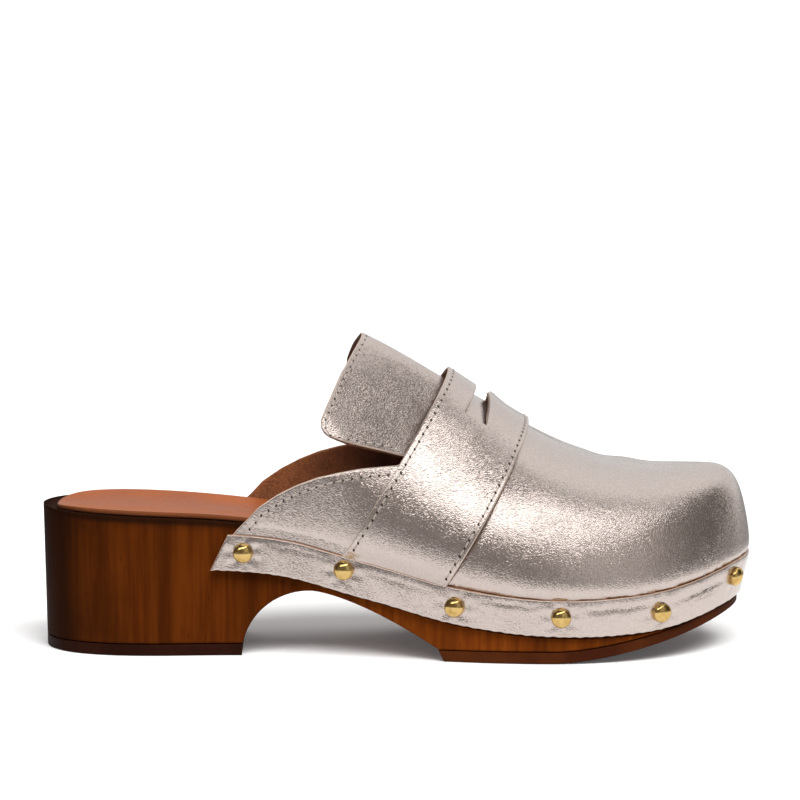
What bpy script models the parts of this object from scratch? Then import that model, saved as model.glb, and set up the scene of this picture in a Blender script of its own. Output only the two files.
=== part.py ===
"""A right-foot clog mule: carved wooden sole with a block heel, loafer-cut leather upper, dome-headed nails.

Sizes are in millimetres and become metres when a mesh is made. x runs from the back of the heel to the toe,
y from the outer side of the foot (negative) to the inner side, and z up from the floor.
"""

import bpy
import bmesh
import numpy as np
from mathutils import Vector

MM = 0.001
GAP = 0.3                       # clearance between neighbouring pieces
WELD = 0.00001                  # metres; points closer than this are one point


def table(names, *rows):
    """Named columns of a short table, each an array with one value for each row."""
    return dict(zip(names.split(), np.array(rows, float).T))


# the top edge of the wood seen from above, from the heel's back along the outer side to the toe and home
OUTLINE = table(
    "along across",
    (0.0, 0.0), (9.1, -21.9), (31.0, -31.0), (60.0, -30.2), (85.0, -30.5), (115.0, -35.5), (145.0, -43.3),
    (172.0, -47.8), (198.0, -46.5), (222.0, -37.3), (238.0, -22.6), (246.7, -8.0), (249.1, 6.0),
    (246.7, 20.0), (238.0, 32.1), (222.0, 40.3), (198.0, 45.5), (178.0, 46.0), (150.0, 42.0), (120.0, 33.0),
    (92.0, 27.8), (65.0, 28.6), (31.0, 31.0), (9.1, 21.9), (0.0, 0.0))

# the wood's top edge, how far the footbed is dished below it, the rand's top edge,
# the lean of the wood behind the rand, and the ledge that stands out under the rand
SOLE_TOP = table(
    "along edge dish rand_top lean ledge",
    (0.0, 50.9, 2.2, 44.5, 0.025, 0.0), (40.0, 49.5, 2.2, 44.4, 0.025, 0.0),
    (71.0, 47.5, 2.0, 43.6, 0.025, 0.0), (92.0, 44.5, 1.8, 40.9, 0.030, 0.1),
    (107.0, 40.9, 1.7, 36.9, 0.035, 0.2), (125.0, 35.4, 1.5, 32.5, 0.045, 0.4),
    (141.0, 30.5, 1.2, 28.3, 0.055, 0.6), (158.0, 26.7, 1.0, 25.3, 0.060, 0.8),
    (176.0, 24.4, 1.0, 23.4, 0.065, 1.0), (190.0, 24.0, 1.0, 23.1, 0.080, 1.3),
    (206.0, 24.8, 1.0, 23.9, 0.105, 1.7), (219.0, 26.2, 0.9, 25.3, 0.135, 2.1),
    (232.0, 28.7, 0.7, 27.8, 0.175, 2.6), (243.0, 31.3, 0.5, 30.4, 0.210, 2.7),
    (249.1, 32.7, 0.4, 31.8, 0.230, 2.8))
SIDE_LEAN = 0.025               # how much the wood's side leans in below the rand
LEDGE_DROP = 0.9                # the ledge lies this far below the rand's lower edge

HEEL_LIFT = 4.0                 # rubber top piece under the heel
HEEL_ROUND = 31.0
BREAST = 71.5                   # front of the heel at the floor
ARCH_TOP = 96.0                 # the hollow's highest station, and its height
ARCH_HEIGHT = 23.4
ARCH_FRONT_POWER = 1.45
ARCH_FOOT = 3.8
PAD_REAR = 141.0                # the forefoot rubber starts here
PAD_REAR_SLANT = 1.8
TOE_LIFT_START = 182.0
TOE_LIFT = 15.3
TOE_LIFT_POWER = 1.55
PAD = table("along thick", (141.0, 3.8), (184.0, 4.0), (208.0, 3.8), (230.0, 3.6), (240.0, 3.2), (249.1, 2.4))
WOOD_TOP_STEPS = 8

INSOLE = 1.6
INSOLE_INSET = (2.8, 2.0)       # in from the wood's edge at the sides, and how much more at the heel's back

# the leather's outer skin: the ridge over the foot, the sections' fullness and the roll above the rand
RIDGE = table(
    "along height across fullness roll",
    (60.0, 121.3, 0.0, 2.0, 0.3), (90.0, 119.3, 0.4, 2.0, 0.6), (114.0, 111.7, 0.8, 2.0, 1.0),
    (140.0, 97.2, 1.4, 2.1, 1.6), (158.0, 86.6, 2.0, 2.25, 2.1), (173.0, 78.1, 2.6, 2.35, 2.4),
    (185.0, 71.9, 3.1, 2.45, 2.5), (196.0, 67.8, 3.6, 2.6, 2.4), (208.0, 65.0, 4.1, 2.8, 2.1),
    (220.0, 63.8, 4.6, 3.1, 1.8), (236.0, 64.3, 5.0, 3.4, 1.6))
ROLL_POWERS = (0.5, 2.0)        # the roll swells over the rand at once and fades towards the ridge
FAN_START = 165.0               # ahead of this the ribs turn towards the toe
FAN_END = 234.0                 # the ridge ends here, and the toe's ribs spread from it
UPPER_WALL = 1.8
UPPER_STEPS = 13
SKIRT = 10.0                    # the drop below the wood's edge at a girth of -1
SKIRT_STEPS = 2
SKIRT_HIDDEN = 2.0              # the leather under the rand stops this far above the rand's lower edge
RIB_SAMPLES = 60

# top edge of the upper from the hidden rear tip, along the wing and up the throat under the strap
TOPLINE = table(
    "along height",
    (63.0, 34.9), (66.0, 40.3), (70.0, 45.4), (73.6, 49.0), (77.8, 53.5), (84.7, 58.1), (91.5, 61.5),
    (99.2, 64.4), (106.0, 66.1), (114.6, 67.7), (127.0, 68.9), (134.0, 72.3), (141.0, 79.8), (148.0, 92.6))
INNER_WING_RAISE = 1.0          # the wing stands this much higher on the inner side
UPPER_REAR = 63.0
THROAT = 148.0

# the tongue flap: its lower edge and its slanted rear end; its front edge follows the throat
TONGUE = table(
    "along low high",
    (99.9, 82.9, 85.3), (100.8, 81.2, 87.3), (103.2, 79.5, 92.5), (106.8, 78.3, 100.3), (110.5, 77.2, 106.5),
    (114.1, 76.2, 111.7), (120.5, 74.4, 111.7), (127.0, 72.4, 111.7))
TONGUE_RIDGE_FROM = 114.0       # ahead of this the flap spans the ridge
TONGUE_INNER_TRIM = 3.6         # the free end is cut shorter by this on the inner side
TONGUE_WALL = 2.0
TONGUE_STEPS = 7
THROAT_STATIONS = (134.0, 141.0, 142.75, 144.5, 146.25)
THROAT_TIP = 147.1
THROAT_SETBACK = 0.8

# the saddle strap: where its two edges cross the rand and the ridge
STRAP_WALL = 1.4
STRAP_REAR = (106.6, 142.6)
STRAP_FRONT = (143.6, 172.7)
STRAP_LIFT = 2.3                # its rear edge stands off the tongue by this at the ridge
STRAP_STEPS = 16                # along the strap, each side
STRAP_CURVE = 2.2
STRAP_BOW = 0.86                # its edges bow forward a little between the rand and the ridge
SLOT_REAR = (0.35, 0.33)        # the slot's edges as parts of the strap's width, at the ridge and at its ends
SLOT_FRONT = (0.495, 0.58)
SLOT_STEPS = 5                  # the slot's half length in steps along the strap

RAND_WIDTH = 13.0
RAND_TOE_WIDTH = 11.4
RAND_WALL = 1.5
RAND_REAR = (60.3, 66.6)        # lower and upper corner of its slanted end
RAND_SLANTED = 3                # the slant fades over this many columns

STUD_RADIUS = 3.5
STUD_HEIGHT = 2.5
STUD_RIM = 0.4
# each nail's distance from the toe's tip along the wood's edge, and how far it is off the rand's middle line
STUDS = table("place raise", (20.6, 1.6), (57.9, -0.6), (93.2, 0.5), (130.0, -0.3), (170.2, 1.8), (206.7, 0.3))
STUD_TURNS = 12
STUD_RINGS = 4

ORIGIN = (126.38, -1.06)         # the plan centre of the whole shoe

# colour, roughness, metallic
FINISH = {
    "wood": ((0.115, 0.034, 0.018), 0.42, 0.0),
    "heel_rubber": ((0.022, 0.012, 0.011), 0.6, 0.0),
    "sole_rubber": ((0.060, 0.020, 0.014), 0.6, 0.0),
    "gold_leather": ((0.56, 0.49, 0.43), 0.36, 0.85),
    "insole_leather": ((0.36, 0.125, 0.048), 0.38, 0.0),
    "brass": ((0.78, 0.56, 0.27), 0.22, 1.0),
}


def spline(knots, values, at, closed=False):
    """Cubic curve with continuous bending through a table's rows, read at the places given."""
    step = np.diff(knots)
    slope = np.diff(values) / step
    count = len(knots)
    system = np.zeros((count, count))
    target = np.zeros(count)
    for i in range(1, count - 1):
        system[i, i - 1:i + 2] = step[i - 1], 2 * (step[i - 1] + step[i]), step[i]
        target[i] = 6 * (slope[i] - slope[i - 1])
    system[0, 0] = 1
    if closed:
        system[0, -1] = -1
        system[-1, [-2, 0, 1]] = step[-1], 2 * (step[-1] + step[0]), step[0]
        target[-1] = 6 * (slope[0] - slope[-1])
    else:
        system[-1, -1] = 1
    bend = np.linalg.solve(system, target)
    place = np.clip(at, knots[0], knots[-1])
    i = np.clip(np.searchsorted(knots, place) - 1, 0, count - 2)
    before = (knots[i + 1] - place) / step[i]
    after = (place - knots[i]) / step[i]
    curve = (before ** 3 - before) * bend[i] + (after ** 3 - after) * bend[i + 1]
    return before * values[i] + after * values[i + 1] + curve * step[i] ** 2 / 6


# the outline as a closed curve measured by its own length, and that length for a station on either side
CHORDS = np.hypot(np.diff(OUTLINE["along"]), np.diff(OUTLINE["across"]))
OUTLINE_KNOTS = np.concatenate(([0.0], np.cumsum(CHORDS)))
FINE = np.linspace(0, OUTLINE_KNOTS[-1], 6001)
FINE_ALONG = spline(OUTLINE_KNOTS, OUTLINE["along"], FINE, closed=True)
TOE_INDEX = int(np.argmax(FINE_ALONG))
TOE = float(FINE_ALONG[TOE_INDEX])
TOE_LENGTH = float(FINE[TOE_INDEX])
OUTER, INNER = -1, 1


def edge_place(along, side):
    """Length along the outline at which a station is met on the outer or the inner side."""
    if side == OUTER:
        return np.interp(along, FINE_ALONG[:TOE_INDEX + 1], FINE[:TOE_INDEX + 1])
    return np.interp(along, FINE_ALONG[TOE_INDEX:][::-1], FINE[TOE_INDEX:][::-1])


def edge(place):
    """Plan point of the wood's edge and its outward direction."""
    nudge = 0.05
    total = OUTLINE_KNOTS[-1]

    def at(length):
        length = np.mod(length, total)
        along = spline(OUTLINE_KNOTS, OUTLINE["along"], length, closed=True)
        across = spline(OUTLINE_KNOTS, OUTLINE["across"], length, closed=True)
        return np.stack((along, across), axis=-1)

    run = at(place + nudge) - at(place - nudge)
    run /= np.linalg.norm(run, axis=-1, keepdims=True)
    return at(place), np.stack((run[..., 1], -run[..., 0]), axis=-1)


def sole_top(along, column):
    return spline(SOLE_TOP["along"], SOLE_TOP[column], along)


def ridge(along, column):
    return spline(RIDGE["along"], RIDGE[column], along)


def ridge_station(along):
    """Where a rib meets the ridge: straight above its foot, then behind it more and more towards the toe."""
    part = np.clip((along - FAN_START) / (TOE - FAN_START), 0, 1)
    lead = (TOE - FAN_START) / (FAN_END - FAN_START)
    fan = FAN_START + (FAN_END - FAN_START) * (lead * part - (lead - 1) * part ** 2)
    return np.where(along < FAN_START, along, fan)


def swell(rise):
    return rise ** ROLL_POWERS[0] * (1 - rise) ** ROLL_POWERS[1]


def skin(place, girth):
    """Point on the leather's outer skin: girth 0 at the wood's edge, 1 on the ridge, below 0 on the skirt.

    Above the edge a rib is a quarter of a rounded square whose corner fills out with the table's fullness,
    and it rolls outward over the rand before it turns in.
    """
    foot, out = edge(place)
    along = foot[..., 0]
    station = ridge_station(along)
    foot = foot + out * (GAP + UPPER_WALL)
    top = np.stack((station, ridge(station, "across")), axis=-1)
    turn = np.clip(girth, 0, 1) * np.pi / 2
    power = 2 / ridge(station, "fullness")
    inward = 1 - np.cos(turn) ** power
    rise = np.sin(turn) ** power
    roll = ridge(station, "roll") * swell(rise) / swell(ROLL_POWERS[0] / sum(ROLL_POWERS))
    drop = -np.minimum(girth, 0) * SKIRT
    reach = roll - drop * sole_top(along, "lean")
    plan = foot + (top - foot) * inward[..., None] + out * reach[..., None]
    low = sole_top(along, "edge")
    height = low + (ridge(station, "height") - low) * rise - drop
    return np.concatenate((plan, height[..., None]), axis=-1)


def girth_at(place, height):
    """The girth at which a rib reaches a height."""
    foot, _ = edge(place)
    along = foot[..., 0]
    station = ridge_station(along)
    low = sole_top(along, "edge")
    part = np.clip((height - low) / (ridge(station, "height") - low), 0, 1)
    above = np.arcsin(part ** (ridge(station, "fullness") / 2)) * 2 / np.pi
    return np.where(height < low, (height - low) / SKIRT, above)


def outward(place, girth):
    """Outward direction of the skin, from small steps along and up it."""
    step, lift = 0.2, 0.004
    girth = np.minimum(girth, 1 - 2 * lift)
    across = skin(place + step, girth) - skin(place - step, girth)
    upward = skin(place, girth + lift) - skin(place, girth - lift)
    direction = np.cross(across, upward)
    return direction / np.linalg.norm(direction, axis=-1, keepdims=True)


def spaced_girths(place, low, high, steps):
    """Girths from low to high at even lengths along a rib."""
    girth = np.linspace(low, high, RIB_SAMPLES)
    points = skin(np.full(RIB_SAMPLES, place), girth)
    length = np.concatenate(([0.0], np.cumsum(np.linalg.norm(np.diff(points, axis=0), axis=1))))
    return np.interp(np.linspace(0, length[-1], steps + 1), length, girth)


def column(place, low, high, steps):
    """Points up one rib; a rib that starts on the skirt has a point where it leaves the wood's edge."""
    if low < 0 < high:
        skirt = spaced_girths(place, low, 0.0, SKIRT_STEPS)
        girth = np.concatenate((skirt[:-1], spaced_girths(place, 0.0, high, steps - SKIRT_STEPS)))
    else:
        girth = spaced_girths(place, low, high, steps)
    return skin(np.full(steps + 1, place), girth)


def stations():
    """Stations along the shoe: close together where the outline or the profile turns."""
    runs = ((HEEL_ROUND, 63.0, 4), (63.0, BREAST, 3), (BREAST, 83.0, 5), (83.0, 127.0, 7), (127.0, 141.0, 2),
            (141.0, THROAT, 4), (THROAT, 205.0, 8))
    heel_turn = np.linspace(0, np.pi / 2, 8)
    toe_turn = np.linspace(0, np.pi / 2, 11)
    parts = [HEEL_ROUND * (1 - np.cos(heel_turn))]
    for start, end, steps in runs:
        parts.append(np.linspace(start, end, steps + 1)[1:])
    parts.append(205.0 + (TOE - 205.0) * np.sin(toe_turn)[1:])
    return np.concatenate(parts)


STATIONS = stations()


def grid_faces(rows, columns, first=0, skip=()):
    """Quads of a grid of points kept row by row; cells named in skip stay open."""
    faces = []
    for i in range(rows - 1):
        for k in range(columns - 1):
            if (i, k) not in skip:
                corner = first + i * columns + k
                faces.append((corner, corner + columns, corner + columns + 1, corner + 1))
    return faces


def material(name):
    """Principled material with the finish named in the table."""
    colour, roughness, metallic = FINISH[name]
    made = bpy.data.materials.get(name) or bpy.data.materials.new(name)
    made.use_nodes = True
    shader = made.node_tree.nodes["Principled BSDF"]
    shader.inputs["Base Color"].default_value = (*colour, 1.0)
    shader.inputs["Roughness"].default_value = roughness
    shader.inputs["Metallic"].default_value = metallic
    made.diffuse_color = (*colour, 1.0)
    return made


def add_object(name, mesh, finish):
    if not mesh.materials:
        mesh.materials.append(material(finish))
    made = bpy.data.objects.new(name, mesh)
    PARTS.objects.link(made)
    made.parent = ASSEMBLY
    return made


def weld(name, points, faces, smooth):
    """Mesh in metres with points that fall together joined."""
    mesh = bpy.data.meshes.new(name)
    mesh.from_pydata([tuple(point) for point in np.asarray(points) * MM], [], faces)
    body = bmesh.new()
    body.from_mesh(mesh)
    bmesh.ops.remove_doubles(body, verts=body.verts, dist=WELD)
    bmesh.ops.dissolve_degenerate(body, edges=body.edges, dist=WELD)
    for face in body.faces:
        face.smooth = smooth
    body.to_mesh(mesh)
    body.free()
    return mesh


def shell(name, points, faces, wall, finish, outside):
    """Leather piece: an open skin thickened to one side, outward from the foot or inward."""
    made = add_object(name, weld(name, points, faces, True), finish)
    thicken = made.modifiers.new("Thickness", "SOLIDIFY")
    thicken.thickness = wall * MM
    thicken.offset = 1.0 if outside else -1.0
    thicken.use_even_offset = True
    thicken.use_quality_normals = True
    return made


def loft(name, sections, finish):
    """Solid through closed sections of equal count; a section that shrinks to a line closes its end."""
    count, size = len(sections), len(sections[0])
    faces = []
    for i in range(count - 1):
        for k in range(size):
            after = (k + 1) % size
            faces.append((i * size + k, i * size + after, (i + 1) * size + after, (i + 1) * size + k))
    faces.append(tuple(range(size))[::-1])
    faces.append(tuple(range((count - 1) * size, count * size)))
    mesh = weld(name, np.concatenate(sections), faces, False)
    body = bmesh.new()
    body.from_mesh(mesh)
    bmesh.ops.recalc_face_normals(body, faces=body.faces)
    body.to_mesh(mesh)
    body.free()
    return add_object(name, mesh, finish)


def sides(along):
    """Where the wood's edge lies across the shoe at a station, outer and inner."""
    outer, _ = edge(edge_place(along, OUTER))
    inner, _ = edge(edge_place(along, INNER))
    return outer[..., 1], inner[..., 1]


def footbed(along, across):
    """Height of the wood's top: its edge line, dished below it in the middle."""
    outer, inner = sides(along)
    spread = np.maximum(inner - outer, 0.001)
    part = np.clip((2 * across - outer - inner) / spread, -1, 1)
    return sole_top(along, "edge") - sole_top(along, "dish") * (1 - part ** 2)


def rand_low(along):
    """Lower edge of the rand, a little narrower round the toe."""
    toe = np.clip((along - TOE_LIFT_START) / (TOE - TOE_LIFT_START), 0, 1)
    return sole_top(along, "rand_top") - RAND_WIDTH - (RAND_TOE_WIDTH - RAND_WIDTH) * toe


def pad_bottom(along):
    """Floor line of the forefoot: flat, then a round toe lift."""
    part = np.clip((along - TOE_LIFT_START) / (TOE - TOE_LIFT_START), 0, 1)
    return TOE_LIFT * part ** TOE_LIFT_POWER


def pad_top(along):
    return pad_bottom(along) + spline(PAD["along"], PAD["thick"], along)


def wood_bottom(along):
    """Underside of the wood: flat heel, elliptical breast, the hollow's long front slope, and the forefoot."""
    seat = HEEL_LIFT + GAP
    rear = np.clip((ARCH_TOP - along) / (ARCH_TOP - BREAST), 0, 1)
    front = np.clip((along - ARCH_TOP) / (PAD_REAR - ARCH_TOP), 0, 1)
    breast = np.maximum(ARCH_HEIGHT * np.sqrt(1 - rear ** 2), seat)
    slope = ARCH_FOOT + GAP + (ARCH_HEIGHT - ARCH_FOOT - GAP) * (1 - front ** ARCH_FRONT_POWER)
    hollow = np.where(along < ARCH_TOP, breast, slope)
    return np.where(along < BREAST, seat, np.where(along > PAD_REAR, pad_top(along) + GAP, hollow))


def ledge_height(along):
    return rand_low(along) - LEDGE_DROP


def wood_side(along, side, height, ledge=True):
    """Point of the wood's side: it leans in behind the rand, and stands out from there under the ledge."""
    foot, out = edge(edge_place(along, side))
    shelf = ledge_height(along)
    inward = sole_top(along, "lean") * (sole_top(along, "edge") - max(height, shelf))
    if ledge:
        inward += SIDE_LEAN * (shelf - height) - sole_top(along, "ledge")
    return (*(foot - out * inward), height)


def wood_section(along):
    outer, inner = sides(along)
    across = np.linspace(inner, outer, WOOD_TOP_STEPS + 1)
    low, shelf = wood_bottom(along), ledge_height(along)
    top = [(along, y, footbed(along, y)) for y in across]
    outer_side = [wood_side(along, OUTER, shelf, ledge) for ledge in (False, True)]
    inner_side = [wood_side(along, INNER, shelf, ledge) for ledge in (True, False)]
    bottom = [wood_side(along, OUTER, low), wood_side(along, INNER, low)]
    return np.array(outer_side + bottom + inner_side + top, float)


def block_section(along, low, high, slant=0.0):
    """Section between two heights on the wood's sides, its lower corners set forward by the slant."""
    corners = [wood_side(along, OUTER, low), wood_side(along, INNER, low),
               wood_side(along, INNER, high), wood_side(along, OUTER, high)]
    section = np.array(corners, float)
    section[:2, 0] += slant
    return section


def build_sole():
    loft("wood_sole", [wood_section(x) for x in STATIONS], "wood")
    heel = STATIONS[STATIONS <= BREAST]
    loft("heel_top_piece", [block_section(x, 0.0, HEEL_LIFT) for x in heel], "heel_rubber")
    front = STATIONS[STATIONS >= PAD_REAR]
    pad = [block_section(front[0], pad_bottom(front[0]), pad_top(front[0]), PAD_REAR_SLANT)]
    pad += [block_section(x, pad_bottom(x), pad_top(x)) for x in front[1:]]
    loft("forefoot_outsole", pad, "sole_rubber")


def insole_inset(out):
    """How far the sock stays in from the wood's edge: more where that edge faces backward."""
    return INSOLE_INSET[0] + INSOLE_INSET[1] * max(0.0, -out[0]) ** 2


def build_insole():
    """Leather sock lying in the dished footbed, set in from the wood's edge."""
    rows = []
    for x in STATIONS:
        outer, outer_out = edge(edge_place(x, OUTER))
        inner, inner_out = edge(edge_place(x, INNER))
        start = outer - outer_out * insole_inset(outer_out)
        end = inner - inner_out * insole_inset(inner_out)
        part = np.linspace(0, 1, WOOD_TOP_STEPS + 1)[:, None]
        plan = start + (end - start) * part
        height = footbed(plan[:, 0], plan[:, 1]) + GAP + INSOLE
        rows.append(np.column_stack((plan, height)))
    faces = grid_faces(len(rows), WOOD_TOP_STEPS + 1)
    shell("insole", np.concatenate(rows), faces, INSOLE, "insole_leather", outside=False)


def both_sides(along):
    """Outline lengths of the stations up the outer side, round the toe and back down the inner side."""
    return np.concatenate((edge_place(along, OUTER), edge_place(along[::-1][1:], INNER)))


def topline(along):
    return np.interp(along, TOPLINE["along"], TOPLINE["height"])


def build_upper():
    """One wall from under the rand to the ridge, or to the wing's edge behind the throat."""
    along = STATIONS[STATIONS >= UPPER_REAR]
    rows = []
    for place in both_sides(along):
        x = edge(place)[0][0]
        low = girth_at(place, rand_low(x) + SKIRT_HIDDEN)
        raised = INNER_WING_RAISE if place > TOE_LENGTH else 0.0
        high = 1.0 if x >= THROAT - GAP else girth_at(place, topline(x) + raised)
        rows.append(column(place, low, high, UPPER_STEPS))
    faces = grid_faces(len(rows), UPPER_STEPS + 1)
    shell("upper", np.concatenate(rows), faces, UPPER_WALL, "gold_leather", outside=False)


def build_tongue():
    """Flap in the upper's own layer, from its slanted free end to the throat under the strap."""
    ahead = np.array((*THROAT_STATIONS, THROAT_TIP))
    along = np.concatenate((TONGUE["along"], ahead))
    low = np.concatenate((TONGUE["low"], topline(ahead + THROAT_SETBACK) + GAP))
    free = np.clip((TONGUE_RIDGE_FROM - along) / (TONGUE_RIDGE_FROM - along[0]), 0, 1)
    points, faces = [], []
    for side in (OUTER, INNER):
        order = range(len(along)) if side == OUTER else reversed(range(len(along)))
        first = len(points) * (TONGUE_STEPS + 1)
        for i in order:
            x = along[i] + (TONGUE_INNER_TRIM * free[i] ** 2 if side == INNER else 0.0)
            place = edge_place(x, side)
            high = 1.0 if free[i] == 0 else girth_at(place, TONGUE["high"][i])
            raised = INNER_WING_RAISE if side == INNER else 0.0
            points.append(column(place, girth_at(place, low[i] + raised), high, TONGUE_STEPS))
        faces += grid_faces(len(along), TONGUE_STEPS + 1, first)
    shell("tongue", np.concatenate(points), faces, TONGUE_WALL, "gold_leather", outside=False)


def build_strap():
    """Saddle over the instep; its edges look straight from the side, and a slot crosses its middle."""
    rows = []
    for part in np.linspace(-1, 1, 2 * STRAP_STEPS + 1):
        side = OUTER if part < 0 else INNER
        turn = 1 - abs(part)
        rise = np.sin(turn * np.pi / 2) ** (2 / STRAP_CURVE)
        reach = min(abs(part) * STRAP_STEPS / SLOT_STEPS, 1.0)
        slot_rear = SLOT_REAR[0] + (SLOT_REAR[1] - SLOT_REAR[0]) * reach
        slot_front = SLOT_FRONT[0] + (SLOT_FRONT[1] - SLOT_FRONT[0]) * reach
        share = np.array((0.0, slot_rear / 2, slot_rear, slot_front, (1 + slot_front) / 2, 1.0))
        start = STRAP_REAR[0] + (STRAP_FRONT[0] - STRAP_REAR[0]) * share
        end = STRAP_REAR[1] + (STRAP_FRONT[1] - STRAP_REAR[1]) * share
        place = edge_place(start + (end - start) * rise ** STRAP_BOW, side)
        low = sole_top(start, "rand_top") + GAP
        girth = girth_at(place, low + (ridge(end, "height") - low) * rise) if turn < 1 else np.ones_like(start)
        stand_off = GAP + STRAP_LIFT * (1 - share) * rise ** 3
        rows.append(skin(place, girth) + outward(place, girth) * stand_off[:, None])
    skip = {(i, 2) for i in range(STRAP_STEPS - SLOT_STEPS, STRAP_STEPS + SLOT_STEPS)}
    faces = [face[::-1] for face in grid_faces(len(rows), len(rows[0]), skip=skip)]
    shell("saddle_strap", np.concatenate(rows), faces, STRAP_WALL, "gold_leather", outside=True)


def build_rand():
    """Leather strip nailed round the wood's edge, its rear ends cut on a slant."""
    along = np.concatenate(([RAND_REAR[0]], STATIONS[STATIONS >= UPPER_REAR]))
    upper = along.copy()
    fade = 1 - np.arange(RAND_SLANTED) / RAND_SLANTED
    upper[:RAND_SLANTED] += (RAND_REAR[1] - RAND_REAR[0]) * fade
    rows = []
    for low_place, high_place in zip(both_sides(along), both_sides(upper)):
        place = np.array((low_place, high_place))
        x = edge(place)[0][:, 0]
        height = np.array((rand_low(x[0]), sole_top(x[1], "rand_top")))
        girth = girth_at(place, height)
        rows.append(skin(place, girth) + outward(place, girth) * GAP)
    faces = grid_faces(len(rows), 2)
    shell("rand", np.concatenate(rows), faces, RAND_WALL, "gold_leather", outside=True)


def stud_mesh():
    """Domed nail head: a round cap on a thin rim, spun about its axis."""
    body = bmesh.new()
    turn = np.linspace(0, np.pi / 2, STUD_RINGS + 1)
    profile = [(STUD_RADIUS * np.sin(a), STUD_RIM + (STUD_HEIGHT - STUD_RIM) * np.cos(a)) for a in turn]
    profile += [(STUD_RADIUS, 0.0), (0.0, 0.0)]
    verts = [body.verts.new((r * MM, 0, h * MM)) for r, h in profile]
    edges = [body.edges.new(pair) for pair in zip(verts, verts[1:])]
    bmesh.ops.spin(body, geom=verts + edges, axis=(0, 0, 1), angle=2 * np.pi, steps=STUD_TURNS, use_merge=True)
    bmesh.ops.remove_doubles(body, verts=body.verts, dist=WELD)
    bmesh.ops.recalc_face_normals(body, faces=body.faces)
    for face in body.faces:
        face.smooth = True
    mesh = bpy.data.meshes.new("stud")
    body.to_mesh(mesh)
    body.free()
    return mesh


def build_studs():
    """Nail heads along the rand's middle line, counted on each side from the toe."""
    mesh = stud_mesh()
    for side, word in ((OUTER, "outer"), (INNER, "inner")):
        for number, (away, raised) in enumerate(zip(STUDS["place"], STUDS["raise"]), start=1):
            place = TOE_LENGTH + side * away
            x = edge(place)[0][0]
            girth = girth_at(place, (rand_low(x) + sole_top(x, "rand_top")) / 2 + raised)
            direction = outward(place, girth)
            centre = skin(place, girth) + direction * (2 * GAP + RAND_WALL)
            stud = add_object(f"stud_{word}_{number}", mesh, "brass")
            stud.location = Vector(centre * MM)
            stud.rotation_euler = Vector(direction).to_track_quat("Z", "Y").to_euler()


for old in list(bpy.data.objects):
    bpy.data.objects.remove(old)
PARTS = bpy.data.collections.new("clog_mule")
bpy.context.scene.collection.children.link(PARTS)
ASSEMBLY = bpy.data.objects.new("clog_mule_frame", None)
PARTS.objects.link(ASSEMBLY)
ASSEMBLY.location = (-ORIGIN[0] * MM, -ORIGIN[1] * MM, 0)
build_sole()
build_insole()
build_upper()
build_tongue()
build_strap()
build_rand()
build_studs()
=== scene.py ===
# Right-foot clog mule: champagne foil leather cut like a loafer, nailed with brass domes to a wooden sole.
# Sizes are millimetres from the back of the heel; finished meshes are metres in the frame of the solids.
import bpy
import bmesh
import numpy as np
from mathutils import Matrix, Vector


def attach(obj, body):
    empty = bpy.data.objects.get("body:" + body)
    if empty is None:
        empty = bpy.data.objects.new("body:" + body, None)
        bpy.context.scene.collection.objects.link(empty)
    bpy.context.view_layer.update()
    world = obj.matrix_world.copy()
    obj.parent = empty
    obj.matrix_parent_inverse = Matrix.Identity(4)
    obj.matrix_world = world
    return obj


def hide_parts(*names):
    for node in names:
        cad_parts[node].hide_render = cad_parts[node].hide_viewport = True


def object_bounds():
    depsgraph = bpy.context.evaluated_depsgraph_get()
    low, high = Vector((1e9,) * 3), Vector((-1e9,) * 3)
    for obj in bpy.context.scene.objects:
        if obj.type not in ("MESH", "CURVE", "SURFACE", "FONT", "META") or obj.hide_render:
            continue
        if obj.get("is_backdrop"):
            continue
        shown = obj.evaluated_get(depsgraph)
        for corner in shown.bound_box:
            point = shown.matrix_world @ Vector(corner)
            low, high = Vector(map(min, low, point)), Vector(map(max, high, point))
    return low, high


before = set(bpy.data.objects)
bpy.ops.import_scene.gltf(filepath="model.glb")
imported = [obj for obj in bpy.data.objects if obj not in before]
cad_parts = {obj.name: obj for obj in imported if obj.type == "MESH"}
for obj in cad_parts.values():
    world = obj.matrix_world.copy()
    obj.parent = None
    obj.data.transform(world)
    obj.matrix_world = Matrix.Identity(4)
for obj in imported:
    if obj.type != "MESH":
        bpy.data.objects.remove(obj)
cadBox = [[float(c) for c in corner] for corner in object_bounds()]
print("frame loaded,", len(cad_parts), "solids")


def table(names, *rows):  # named columns from short rows
    return dict(zip(names.split(), np.array(rows, float).T))


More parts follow.
